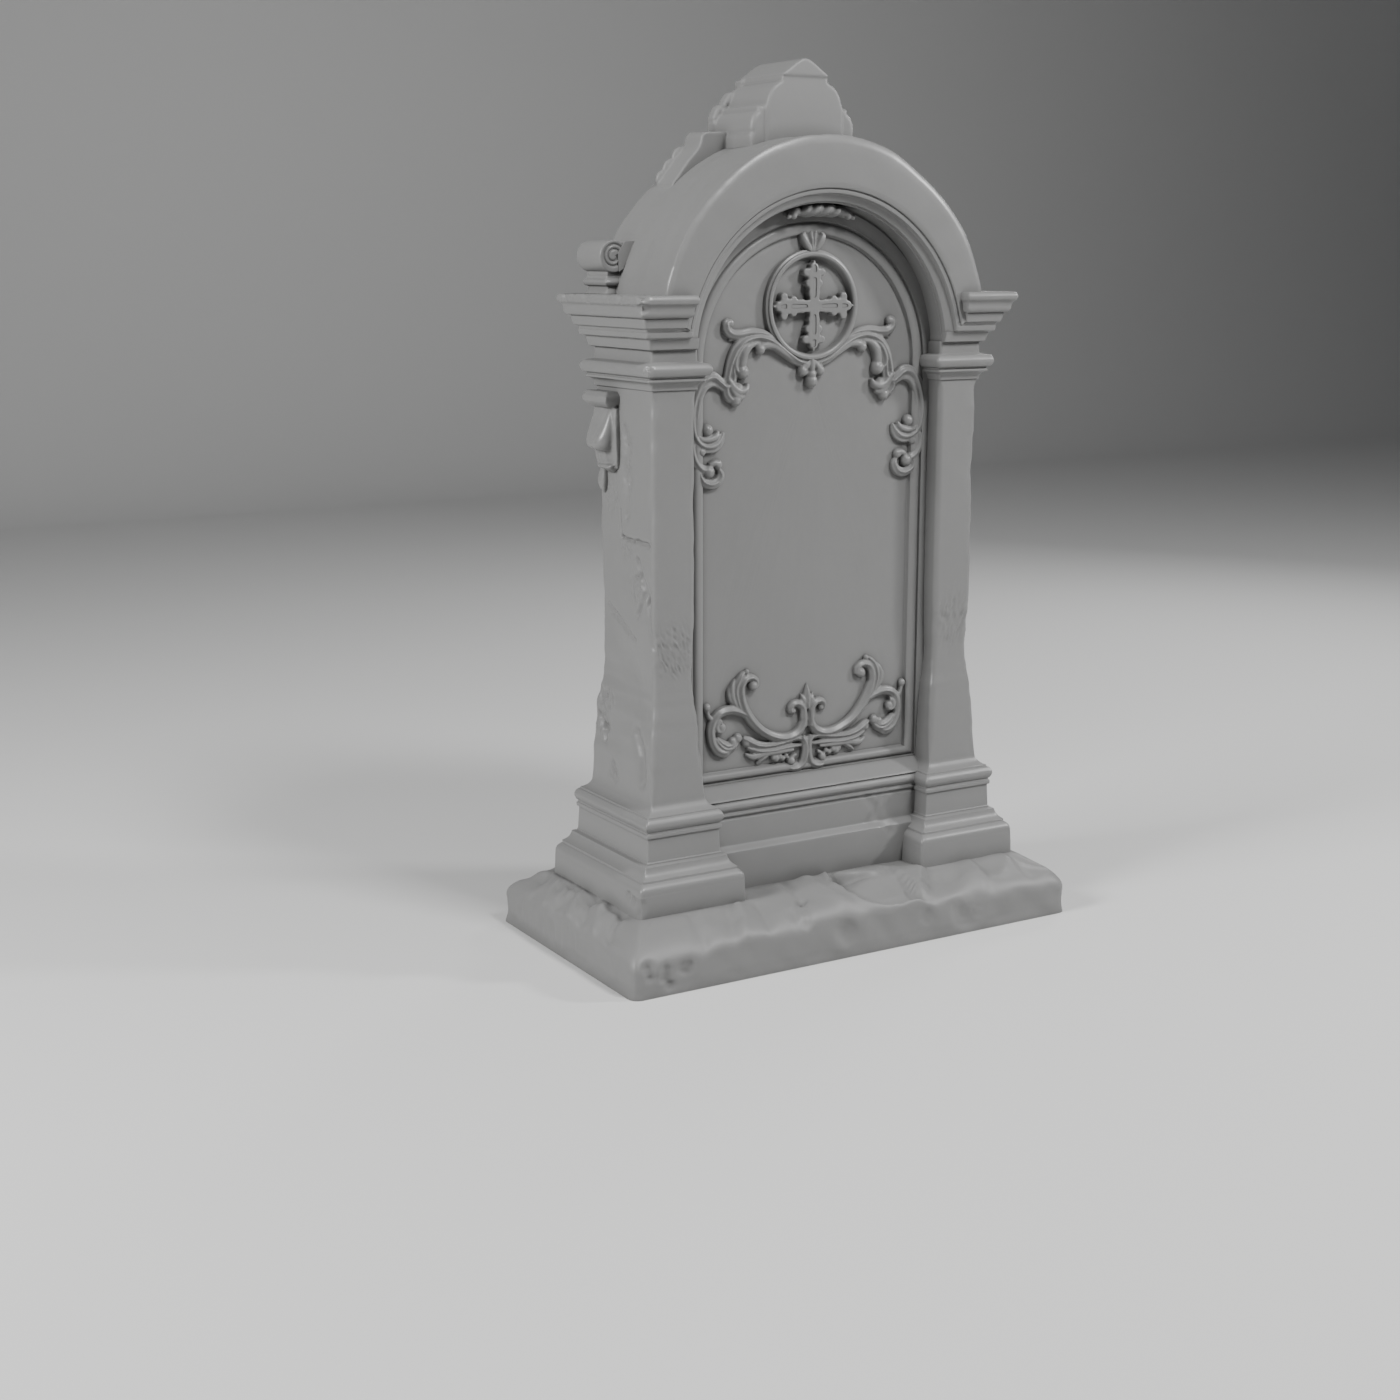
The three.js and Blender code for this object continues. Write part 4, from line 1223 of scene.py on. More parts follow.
def lower_scrolls(bm):
    # Long sweep from the middle curl out to its upright curl
    band(bm, [(7, 436), (8, 416), (17, 398), (36, 388), (60, 388), (84, 396), (106, 409), (126, 428),
              (142, 452), (151, 478), (151, 498), (142, 511), (128, 514), (117, 506), (115, 494)],
         (5, 7, 8, 8, 8, 8, 8, 9, 9, 8, 8, 7, 6, 6, 4),
         (12, 13, 13, 13, 13, 13, 14, 14, 14, 14, 13, 13, 12, 11, 9), lobes=2, groove=0.22, steps=96)
    knob(bm, 125, 497, 9, lift=5)
    # Leaves on the outside of the upright curl
    band(bm, [(150, 450), (160, 472), (163, 496), (152, 518), (140, 527)],
         (4, 6, 7, 5, 2), (10, 12, 12, 11, 6), lobes=2)
    band(bm, [(154, 452), (168, 474), (172, 496), (164, 514)], (3, 5, 5, 2), (8, 10, 10, 5))
    band(bm, [(158, 456), (174, 474), (178, 490), (174, 503)], (2, 4, 4, 1), (7, 8, 8, 4))
    knob(bm, 138, 526, 5, lift=4)
    # Outer branch that turns down to its leaf curl
    band(bm, [(132, 436), (152, 449), (176, 456), (198, 452), (212, 438), (217, 418), (213, 396),
              (202, 381), (186, 375), (172, 380)],
         (5, 7, 8, 8, 8, 8, 8, 9, 9, 6), (11, 13, 13, 13, 12, 12, 12, 12, 11, 8), lobes=2, groove=0.22,
         steps=70)
    band(bm, [(206, 404), (196, 392), (182, 384), (168, 386), (158, 394)],
         (5, 9, 10, 9, 5), (10, 12, 12, 11, 8), lobes=3)
    knob(bm, 158, 399, 9, lift=3, squash=0.9)
    knob(bm, 170, 394, 8, lift=4, squash=0.9)
    curl(bm, 196, 424, size=12, turns=0.9, start=100, width=5, height=10)
    knob(bm, 194, 424, 8.5, lift=3)
    band(bm, [(206, 448), (214, 442), (222, 449), (225, 460)], (4, 5, 4, 4), (8, 9, 8, 7))
    knob(bm, 226, 466, 7.5, lift=3)
    # Middle curls and the fleuron between them
    band(bm, [(7, 404), (9, 424), (10, 440), (18, 450), (30, 452), (38, 446), (38, 438), (31, 435)],
         (6, 7, 7, 7, 6, 6, 5, 3), (12, 13, 13, 13, 12, 11, 10, 7), lobes=2, groove=0.2)
    knob(bm, 32, 438, 5.5, lift=4)
    band(bm, [(0, 440), (0, 452), (0, 468), (0, 489)], (6, 8, 7, 1), (10, 12, 11, 4), lobes=2, mirror=False)
    band(bm, [(3, 446), (9, 458), (14, 470)], (4, 5, 1), (8, 10, 4))
    knob(bm, 15, 404, 6, lift=1)
    # Straight leaves below the sweep
    band(bm, [(2, 378), (24, 383), (52, 379), (84, 376), (112, 380), (134, 391), (146, 398)],
         (4, 5, 6, 6, 7, 8, 4), (9, 10, 11, 11, 12, 12, 8), lobes=2, groove=0.3)
    knob(bm, 138, 388, 9, lift=2, squash=0.9)
    band(bm, [(14, 368), (44, 368), (80, 366), (112, 369), (136, 378)],
         (3, 5, 6, 6, 4), (8, 10, 11, 11, 8), lobes=2)
    band(bm, [(30, 361), (64, 361), (98, 361), (124, 358), (140, 366)], (3, 5, 6, 6, 2), (7, 9, 9, 9, 4))
    band(bm, [(88, 358), (102, 351), (114, 342)], (4, 5, 2), (8, 8, 4), lobes=2)
    band(bm, [(12, 384), (4, 372), (3, 352), (8, 334), (20, 325), (34, 324), (43, 328)],
         (6, 7, 8, 8, 7, 6, 4), (11, 12, 13, 12, 12, 11, 7), lobes=2, groove=0.25)
    knob(bm, 36, 339, 8, lift=4)
    band(bm, [(24, 352), (34, 346), (38, 338)], (3, 4, 3), (8, 8, 7))
    for x, z, r in ((46, 350, 5), (54, 346, 5), (62, 351, 6), (70, 348, 7), (76, 351, 6)):
        knob(bm, x, z, r, lift=2)
    band(bm, [(0, 384), (0, 360), (0, 336), (0, 322)], (3, 5, 4, 2), (6, 9, 8, 4), mirror=False)


def ring_mesh(bm):
    """The moulded ring: a round edge with a flat step outside it."""
    profile = [(84, -4), (87, 2), (88.2, 8), (89.5, 11.5), (92, 13.4), (95, 13.8), (97.6, 12.6), (98.8, 9.6),
               (100.4, 9), (102.4, 7.6), (103.6, 3), (104, -4)]
    steps = 110

    def place(i, j):
        radius, out = profile[i % len(profile)]
        angle = 2 * math.pi * j / steps
        return Vector((radius * math.cos(angle), -GROUND - out, RING_HEIGHT + radius * math.sin(angle)))

    surface(bm, len(profile), steps, place, ring=True, caps=False)
    bmesh.ops.remove_doubles(bm, verts=bm.verts, dist=1e-4)


def tower(bm, outline, high, arris):
    """Raises a closed outline of (x, z) points from the ground, with its front edge rounded."""
    layers = [(0.0, CROSS_ROOT), (0.0, high - arris), (arris * 0.3, high - arris * 0.3), (arris, high)]
    middle = sum((Vector(p) for p in outline), Vector((0, 0))) / len(outline)

    def place(i, j):
        inset, out = layers[j]
        point = Vector(outline[i])
        point = point.lerp(middle, min(0.9, inset / (point - middle).length))
        return Vector((point.x, -GROUND - out, point.y))

    surface(bm, len(outline), len(layers) - 1, place, ring=True)


def oval(d, w, rd, rw):
    """Points round an oval on an arm: its middle, half length and half width."""
    turns = [2 * math.pi * k / OVAL_STEPS for k in range(OVAL_STEPS)]
    return [(d + rd * math.cos(turn), w + rw * math.sin(turn)) for turn in turns]


# One arm of the cross: ovals as (distance out, to the side, half length, half width)
ARM_LOBES = (
    (26, 0, 10, 13), (45, 0, 10.5, 19), (57, 0, 8, 14.5), (67.5, 0, 8.5, 17), (66, 16.5, 8, 8.5),
    (66, -16.5, 8, 8.5), (77, 0, 7.5, 9),
)
ARM_TIP = ((78, -6.5), (84, -3), (90, -0.8), (90, 0.8), (84, 3), (78, 6.5))
ARM_BAR = (
    (-4, -11), (14, -10.4), (30, -11.6), (44, -13.4), (56, -13.4), (70, -12), (80, -6), (80, 6), (70, 12),
    (56, 13.4), (44, 13.4), (30, 11.6), (14, 10.4), (-4, 11),
)
CROSS_FRONT = 16.2
CROSS_ROOT = -4
OVAL_STEPS = 28
# Lengths of the arms, anticlockwise from the right one: the upright ones are a little shorter
ARM_REACHES = (1.0, 0.925, 1.0, 0.925)
# Sunk panels on an arm: where each starts and ends, and its half widths there
ARM_PANELS = ((15, 52, 3.8, 4.6), (61, 75, 4.6, 2.8))


def cross_shapes(bm):
    """A cross with trefoil ends: bar, lobes and tip of each arm."""
    for quarter, reach in enumerate(ARM_REACHES):
        cosine, sine = math.cos(quarter * math.pi / 2), math.sin(quarter * math.pi / 2)

        def turned(points):
            return [(d * reach * cosine - w * sine, RING_HEIGHT + d * reach * sine + w * cosine)
                    for d, w in points]

        tower(bm, turned(ARM_BAR), CROSS_FRONT, arris=2.0)
        tower(bm, turned(ARM_TIP), CROSS_FRONT - 1.4, arris=1.6)
        for lobe in ARM_LOBES:
            tower(bm, turned(oval(*lobe)), CROSS_FRONT - 0.3, arris=2.6)


def cross_panels():
    """Sunk panels on the arms, as cutters."""
    bm = bmesh.new()
    steps, squareness = 20, 0.45
    sunk, past = 1.5, 12
    for quarter in range(4):
        turn = quarter * math.pi / 2
        for inner, outer, wide_in, wide_out in ARM_PANELS:
            ring = []
            for k in range(steps):
                angle = 2 * math.pi * k / steps
                cosine, sine = math.cos(angle), math.sin(angle)
                along = math.copysign(abs(cosine) ** squareness, cosine)
                d = (inner + outer) / 2 + (outer - inner) / 2 * along
                share = (d - inner) / (outer - inner)
                across = math.copysign(abs(sine) ** squareness, sine)
                w = (wide_in + (wide_out - wide_in) * share) * across
                x = d * math.cos(turn) - w * math.sin(turn)
                ring.append((x, d * math.sin(turn) + w * math.cos(turn)))

            def place(i, j):
                depth = (CROSS_FRONT - sunk, CROSS_FRONT + past)[j]
                return Vector((ring[i][0], -GROUND - depth, RING_HEIGHT + ring[i][1]))

            surface(bm, len(ring), 1, place, ring=True)
    return bm


def carved(name, build, voxel):
    """One carved group: its shapes joined into a skin, with what lies behind the ground cut away."""
    bm = bmesh.new()
    build(bm)
    piece = finished(bm, name, "stele")
    blended(piece, voxel)
    bm = bmesh.new()
    bm.from_mesh(piece.data)
    everything = list(bm.verts) + list(bm.edges) + list(bm.faces)
    plane = Vector((0, -(GROUND - 3) * MM, 0))
    bmesh.ops.bisect_plane(bm, geom=everything, plane_co=plane, plane_no=(0, 1, 0), clear_outer=True)
    bmesh.ops.holes_fill(bm, edges=[e for e in bm.edges if e.is_boundary], sides=0)
    bmesh.ops.recalc_face_normals(bm, faces=bm.faces)
    bm.to_mesh(piece.data)
    bm.free()
    piece.data.shade_smooth()
    piece.data.set_sharp_from_angle(angle=math.radians(CARVING_SHARP))
    return piece


class HEADSTONE_OT_medallion(bpy.types.Operator):
    """Builds the ring and the cross inside it"""

    bl_idname = "headstone.medallion"
    bl_label = "Ring and cross"

    def execute(self, context):
        bm = bmesh.new()
        ring_mesh(bm)
        finished(bm, "medallion_ring", "stele")
        cross = carved("cross", cross_shapes, context.scene.headstone_sizes.relief_voxel)
        cutter_mesh = bpy.data.meshes.new("cross_cutter")
        bm = cross_panels()
        bmesh.ops.recalc_face_normals(bm, faces=bm.faces)
        bmesh.ops.scale(bm, verts=bm.verts, vec=(MM, MM, MM))
        bm.to_mesh(cutter_mesh)
        bm.free()
        cutter = bpy.data.objects.new("cross_cutter", cutter_mesh)
        context.scene.collection.objects.link(cutter)
        cut = cross.modifiers.new("panels", "BOOLEAN")
        cut.operation = "DIFFERENCE"
        cut.solver = "EXACT"
        cut.object = cutter
        apply_modifiers(cross)
        cross.data.set_sharp_from_angle(angle=math.radians(CARVING_SHARP))
        bpy.data.objects.remove(cutter)
        bpy.data.meshes.remove(cutter_mesh)
        return {"FINISHED"}


class HEADSTONE_OT_scrollwork(bpy.types.Operator):
    """Builds the upper and lower scrollwork on the panel"""

    bl_idname = "headstone.scrollwork"
    bl_label = "Scrollwork"

    def execute(self, context):
        voxel = context.scene.headstone_sizes.relief_voxel
        carved("upper_scrollwork", upper_scrolls, voxel)
        carved("lower_scrollwork", lower_scrolls, voxel)
        return {"FINISHED"}


# Leaf in the crown of the arch

CROWN_HALF_LENGTH = 74
CROWN_THICKNESS = 11.5
CROWN_FLUTE = 3.6
CROWN_FLUTE_LENGTH = 25
# Middle of the leaf before the middle plane, its height, and the round that it follows
CROWN_FRONT = 84
CROWN_HEIGHT = 1378
CROWN_ROUND = 276
# Buds at the ends: distance from the middle, height and radius
CROWN_BUDS = ((60, 1366, 7), (71, 1364, 5))


def crown_leaf(bm):
    """A twisted leaf lying along the soffit, its flutes slanting and both ends curled."""
    steps, sides = 150, 36
    neck = 0.6

    def place(i, j):
        t = -1 + 2 * j / steps
        x = CROWN_HALF_LENGTH * t
        waist = 1 - 0.3 * math.exp(-((abs(t) - neck) / 0.1) ** 2)
        body = CROWN_THICKNESS * (1 - abs(t) ** 3) ** 0.5 * waist + 1.0
        angle = 2 * math.pi * i / sides
        wave = abs(math.sin(math.pi * x / CROWN_FLUTE_LENGTH + angle)) - 0.6
        r = body + CROWN_FLUTE * wave * (1 if abs(t) < neck else 0.35)
        sag = math.sqrt(CROWN_ROUND ** 2 - x * x) - CROWN_ROUND
        return Vector((x, -CROWN_FRONT + r * 1.6 * math.cos(angle), CROWN_HEIGHT + sag + r * math.sin(angle)))

    surface(bm, sides, steps, place, ring=True)
    for x, z, r in CROWN_BUDS:
        for side, _ in SIDES:
            made = bmesh.ops.create_uvsphere(bm, u_segments=16, v_segments=10, radius=r)["verts"]
            bmesh.ops.translate(bm, verts=made, vec=(side * x, -CROWN_FRONT - 10, z))


class HEADSTONE_OT_crown_leaf(bpy.types.Operator):
    """Builds the leaf in the crown of the arch"""

    bl_idname = "headstone.crown_leaf"
    bl_label = "Crown leaf"

    def execute(self, context):
        bm = bmesh.new()
        crown_leaf(bm)
        piece = finished(bm, "crown_leaf", "stele")
        blended(piece, context.scene.headstone_sizes.relief_voxel)
        return {"FINISHED"}


# Scrolls on the cornice

SCROLL_X = 354
SCROLL_Z = 1294
SCROLL_R = 28.5
SCROLL_FRONT = 47
SCROLL_BACK = 140
# Plate that joins a scroll to the arch, from the scroll's middle
SCROLL_PLATE = ((10, -27), (18, -22), (40, 22), (40, 27), (22, 26), (8, 6))
# Profile of the pedestal: how far it stands out, and its height above the cornice
SCROLL_PEDESTAL = (
    (0, -6), (7, 0), (3, 6), (1, 9), (1, 13), (7, 15), (9, 20), (7, 25), (4, 27), (4, 31), (2, 34),
    (2, 44),
)


def cornice_scroll_mesh(side):
    bm = bmesh.new()
    front, back = SCROLL_FRONT, SCROLL_BACK
    count = 72
    rings = [(0.02, -6.0)] + [(k / 26, 0.0) for k in range(1, 25)]
    rings += [(0.965, 0.4), (0.99, 1.6), (1.0, 4), (1.0, 20)]
    last_rings = ((1.0, back - 4), (0.98, back - 1), (0.9, back), (0.02, back))

    def spiral(radius, angle):
        """How deep the groove of the front spiral is."""
        turn = (angle / (2 * math.pi) + 0.12) % 1
        depth = 0.0
        for lap in range(3):
            line = 0.86 - 0.30 * (turn + lap)
            if line > 0.2:
                depth = max(depth, math.exp(-(((radius - line) / 0.07) ** 2)))
        return depth

    def place(i, j):
        angle = 2 * math.pi * i / count
        if j < len(rings):
            share, deep = rings[j]
            y = front + max(deep, 0) + (2.6 * spiral(share, angle) if share < 0.95 else 0)
        else:
            share, y = last_rings[j - len(rings)]
        r = SCROLL_R * share
        return Vector((-SCROLL_X + r * math.cos(angle), y, SCROLL_Z + r * math.sin(angle)))

    surface(bm, count, len(rings) + len(last_rings) - 1, place, ring=True)

    def plate(i, j):
        x, z = SCROLL_PLATE[i]
        return Vector((-SCROLL_X + x, (front - 2, front - 1.2, back - 5)[j], SCROLL_Z + z))

    surface(bm, len(SCROLL_PLATE), 2, plate, ring=True)
    plans = []
    for out, z in softened(SCROLL_PEDESTAL, 1.2):
        shape = (-SCROLL_X - 7 - out, -SCROLL_X + 46, front + 12 - out, back - 8 + out)
        plans.append((rounded_rectangle(*shape, 2.5, (8, 6, 8, 10)), CORNICE_TOP + z))
    lofted(bm, plans)
    if side > 0:
        mirrored(bm)
    return bm


class HEADSTONE_OT_cornice_scrolls(bpy.types.Operator):
    """Builds the small scrolls that stand on the cornice outside the arch"""

    bl_idname = "headstone.cornice_scrolls"
    bl_label = "Cornice scrolls"

    def execute(self, context):
        for side, word in SIDES:
            finished(cornice_scroll_mesh(side), word + "_cornice_scroll", "stele")
        return {"FINISHED"}


# Leaf brackets on the outer sides of the pilasters

BRACKET_ROOT = 356
BRACKET_VOXEL = 2.0
# The front and back rims of the console mirror each other about the pilaster's middle
BRACKET_SPAN = 116
# Each level of a part of the bracket: how far it stands out, its front and back edge, and its height
BRACKET_CAP = (
    (24, 26, 96, 1025), (26, 24, 98, 1027.6), (31, 19, 102, 1031), (36, 14, 105, 1036),
    (37, 13, 106, 1038), (37, 13, 106, 1044), (35, 15, 105, 1047), (30, 21, 101, 1053),
    (28, 23, 99, 1054),
)
BRACKET_CONSOLE = (
    (15, 30, 92, 1030), (20, 28, 95, 1018), (26, 25, 96, 1002), (34, 23, 96, 985), (41, 23, 94, 969),
    (43, 25, 91, 958), (38, 29, 87, 950), (24, 34, 82, 944.5), (8, 40, 76, 942),
)
BRACKET_RIM = ((13, 18, 24, 1024), (15, 16, 23, 990), (15, 15, 22, 960), (13, 17, 24, 930), (9, 22, 28, 914))
BRACKET_INNER = (
    (15, 22, 96, 1028), (17, 20, 96, 990), (17, 20, 94, 960), (14, 22, 92, 930), (10, 28, 86, 912),
)
BRACKET_TAIL = ((24, 42, 82, 950), (20, 43, 78, 938), (18, 42, 76, 926), (15, 45, 73, 914))
BRACKET_TIP = ((15, 22, 80, 922), (23, 26, 76, 918), (21, 28, 72, 914), (12, 34, 66, 909), (5, 40, 60, 905))
BRACKET_DROP = ((6, 76, 92, 912), (10, 73, 95, 900), (12, 72, 96, 886), (9, 76, 92, 873), (3, 81, 87, 864))


def bracket_part(bm, levels, radius):
    """A body through the levels of one part of the bracket."""
    counts = (8, 3, 8, 26)
    plans = []
    for out, y0, y1, z in levels:
        r = min(radius, out * 0.48, (y1 - y0) * 0.36)
        shape = (-BRACKET_ROOT - out, -BRACKET_ROOT + 8, y0, y1)
        plans.append((rounded_rectangle(*shape, (r, 0.3, 0.3, r), counts, corner_steps=7), z))
    return lofted(bm, plans)


def bracket_mesh(side):
    """Cap slab, bulging leaf console with hollowed sides, tapered tail with a leaf tip, and a drop."""
    bm = bmesh.new()
    bracket_part(bm, BRACKET_CAP, 2.5)
    console_top, console_height = BRACKET_CONSOLE[0][3], 86
    for v in bracket_part(bm, spline(BRACKET_CONSOLE, 48), 24):
        if v.is_valid and v.co.x < -BRACKET_ROOT - 6:
            down = (console_top - v.co.z) / console_height
            groove = 40 + 20 * down * down
            v.co.x += 2.8 * math.exp(-(((v.co.y - groove) / 7) ** 2)) * smooth(1.15 - down)
    rim = spline(BRACKET_RIM, 20)
    bracket_part(bm, rim, 2)
    bracket_part(bm, [(out, BRACKET_SPAN - y1, BRACKET_SPAN - y0, z) for out, y0, y1, z in rim], 2)
    for levels, steps, radius in (
        (BRACKET_INNER, 20, 2), (BRACKET_TAIL, 14, 10), (BRACKET_TIP, 14, 5), (BRACKET_DROP, 18, 9),
    ):
        bracket_part(bm, spline(levels, steps), radius)
    weathered(bm, 0.8, 20, seed=side)
    if side > 0:
        mirrored(bm)
    return bm


class HEADSTONE_OT_brackets(bpy.types.Operator):
    """Builds the leaf brackets on the outer sides of the pilasters"""

    bl_idname = "headstone.brackets"
    bl_label = "Side brackets"

    def execute(self, context):
        for side, word in SIDES:
            piece = finished(bracket_mesh(side), word + "_bracket", "stele")
            blended(piece, BRACKET_VOXEL)
        return {"FINISHED"}


# Crest

CAP_OUTLINE = [
    (0, 1646), (8, 1644.5), (20, 1638), (34, 1628), (44, 1621.5), (49, 1618), (49.5, 1616), (48, 1614),
    (40, 1613),
]
CREST_OUTLINE = [
    (0, 1632), (30, 1622), (44, 1617), (49.5, 1612.5), (50.5, 1609.5), (49.5, 1606.8), (51, 1604.6),
    (58, 1601), (66, 1596), (73, 1588), (79, 1576), (82, 1566), (84, 1561.5), (85, 1556), (85, 1500),
]
SHOULDER_OUTLINE = [
    (60, 1562), (90, 1561.5), (96, 1560.5), (98.5, 1557.5), (97.6, 1554), (96.4, 1552.4), (102, 1549.5),
    (108, 1543), (112, 1533), (113.5, 1522), (112.5, 1515), (110.5, 1512.5), (114.5, 1510.5), (115, 1505),
    (115, 1480),
]
WING_OUTLINE = [
    (106, 1503), (112, 1515), (122, 1518), (154, 1517.5), (163, 1515), (168, 1508), (169, 1499),
    (174, 1489), (184, 1478), (195, 1467), (206, 1453), (216, 1440), (226, 1428), (230, 1423),
    (222, 1415),
]
# Scallops on the back edge of a wing, and leaf tips beside the crest:
# middle (x, z), radius, and way of the tip in degrees
SCALLOPS = ((176, 1474, 19, -10), (196, 1452, 19, -10), (212, 1433, 18, -10))
LEAF_TIPS = ((71, 1578, 15, -20), (94, 1553, 17, -30), (46, 1604, 9, 50), (104, 1534, 12, -60))
# Places where the foot of a wing rests on the arch, outwards from the crest
WING_FOOT = (240, 220, 200, 180, 160, 140, 120, 104, 70)
# The shared back plane of the crest's three layers
CREST_BACK = 110
CREST_VOXEL = 2.1
CREST_SHARP = 80


def under_arch(x):
    """Height of the arch's back at x, where the crest rests."""
    reach = ARCH_RADIUS - 2
    return ARCH_CENTRE + math.sqrt(max(0, reach * reach - x * x))


def slab_of(bm, outline, front, back, arris, steps_deep=16):
    """Gives a front outline depth, with its front and back edges rounded."""
    layers = [(arris, front), (arris * 0.3, front + arris * 0.3), (0, front + arris)]
    layers += [(0, front + arris + (back - front - 2 * arris) * k / steps_deep) for k in range(1, steps_deep)]
    layers += [(0, back - arris), (arris * 0.3, back - arris * 0.3), (arris, back)]
    count = len(outline)

    def place(i, j):
        inset, y = layers[j]
        x, z = outline[i]
        ax, az = outline[i - 1]
        bx, bz = outline[(i + 1) % count]
        length = math.hypot(bx - ax, bz - az) or 1
        return Vector((x - (bz - az) / length * inset, y, z + (bx - ax) / length * inset))

    surface(bm, count, len(layers) - 1, place, ring=True)


def symmetric(half):
    """A closed outline, anticlockwise from the front, from its right half listed downwards."""
    fine = spaced(softened(half, 1.6), 5)
    last_x = fine[-1][0]
    steps = 20
    across = [last_x * (1 - 2 * k / steps) for k in range(steps + 1)]
    floor = [(x, under_arch(x) - 6) for x in across]
    right = [p for p in fine if p[1] > under_arch(p[0]) - 5]
    left = [(-x, z) for x, z in right if x > 0.5]
    return list(reversed(right)) + left + list(reversed(floor))


def roll(bm, x, z, radii, front, back):
    """A roll lying front to back, growing from the first radius to the second, with round ends."""
    small, large = radii
    steps, sides = 14, 18

    def place(i, j):
        t = j / steps
        end = math.sqrt(max(0.0, 1 - max(0.0, (abs(2 * t - 1) - 0.72) / 0.28) ** 2))
        r = (small + (large - small) * t) * max(end, 0.05)
        angle = 2 * math.pi * i / sides
        return Vector((x + r * math.cos(angle), front + (back - front) * t, z + r * math.sin(angle)))

    surface(bm, sides, steps, place, ring=True)


def leaf_tip(bm, side, x, z, radius, way, front, back, point):
    """A rounded leaf end with a drawn-out tip; way is the tip's direction, seen on the right side."""
    outline = []
    steps = 28
    for k in range(steps):
        angle = 2 * math.pi * k / steps
        off = (angle - math.radians(way) + math.pi) % (2 * math.pi) - math.pi
        reach = radius * (1 + point * math.exp(-((off / 0.42) ** 2)))
        outline.append((side * (x + reach * math.cos(angle)), z + reach * math.sin(angle)))
    slab_of(bm, outline if side > 0 else outline[::-1], front, back, radius * 0.4, steps_deep=5)


def wing(bm, side):
    """One low wing with its rolls, its scallops and the leaf tips behind the crest."""
    fine = spaced(softened(WING_OUTLINE, 2.5), 5)
    top = [(x, z) for x, z in fine if z > under_arch(x) - 4]
    shape = [(70, 1506)] + top + [(x, under_arch(x) - 7) for x in WING_FOOT]
    shape = list(reversed(shape)) if side > 0 else [(-x, z) for x, z in shape]
    slab_of(bm, shape, front=50, back=112, arris=2.6, steps_deep=12)
    for x, z, r, way in SCALLOPS:
        leaf_tip(bm, side, x, z, r, way, front=104, back=118, point=0.08)
    roll(bm, side * 154, 1508, radii=(9, 11), front=58, back=118)
    roll(bm, side * 214, 1426, radii=(4, 12), front=66, back=119)
    for x, z, r, way in LEAF_TIPS:
        leaf_tip(bm, side, x, z, r, way, front=92, back=120, point=0.45)


def crest_mesh():
    bm = bmesh.new()
    slab_of(bm, symmetric(CREST_OUTLINE), front=-39, back=CREST_BACK, arris=4.5)
    slab_of(bm, symmetric(SHOULDER_OUTLINE), front=-35, back=CREST_BACK, arris=7)
    cap = spaced(softened(CAP_OUTLINE, 1.6), 5)
    whole_cap = list(reversed(cap)) + [(-x, z) for x, z in cap if x > 0.5]
    slab_of(bm, whole_cap, front=-41, back=CREST_BACK, arris=3.0)
    for side, _ in SIDES:
        wing(bm, side)
    return bm


class HEADSTONE_OT_crest(bpy.types.Operator):
    """Builds the crowning stone and its two wings"""

    bl_idname = "headstone.crest"
    bl_label = "Crest"

    def execute(self, context):
        piece = finished(crest_mesh(), "crest_stone", "crest", rough_stone())
        blended(piece, CREST_VOXEL, smoothing=3, sharp=CREST_SHARP)
        return {"FINISHED"}


# Stage, light and camera

CAMERA_PLACE = (-2.1436, -3.2568, 1.3024)
CAMERA_TURN = (77.559, 0.0, -30.811)
LENS = 52.275
# The floor in metres: half width, where it starts and ends, its bend up to the wall, and the wall
FLOOR_HALF_WIDTH = 14
FLOOR_FRONT = -9
FLOOR_BACK = 9.0
FLOOR_BEND = 2.2
WALL_HEIGHT = 6.0
PAPER = (0.58, 0.58, 0.575, 1)
SKY = (0.75, 0.77, 0.8, 1)
SKY_STRENGTH = 0.09
# Soft lamps: name, place and aim in metres, size in metres and power in watts
LAMPS = (
    ("front", (0.9, -3.4, 4.9), (0, 0, 0.8), 1.1, 280),
    ("right", (4.2, -2.5, 3.0), (0, 0, 0.8), 0.5, 190),
    ("left", (-4.6, -0.3, 3.0), (0, 0, 0.8), 1.4, 320),
    ("rim", (3.8, 2.4, 2.6), (0, 0, 1.0), 1.0, 50),
)


def floor_mesh():
    """A floor that bends up into a wall behind the headstone."""
    bm = bmesh.new()
    flat_steps, bend_steps = 4, 12

    def place(i, j):
        x = -FLOOR_HALF_WIDTH + FLOOR_HALF_WIDTH * i
        if j < flat_steps:
            run = FLOOR_BACK - FLOOR_FRONT - FLOOR_BEND
            return Vector((x, FLOOR_FRONT + run * j / (flat_steps - 1), 0))
        if j <= flat_steps + bend_steps:
            turn = (j - flat_steps) / bend_steps * math.pi / 2
            y = FLOOR_BACK - FLOOR_BEND + FLOOR_BEND * math.sin(turn)
            return Vector((x, y, FLOOR_BEND * (1 - math.cos(turn))))
        return Vector((x, FLOOR_BACK, FLOOR_BEND + WALL_HEIGHT))

    surface(bm, 2, flat_steps + bend_steps + 1, place, caps=False)
    return bm


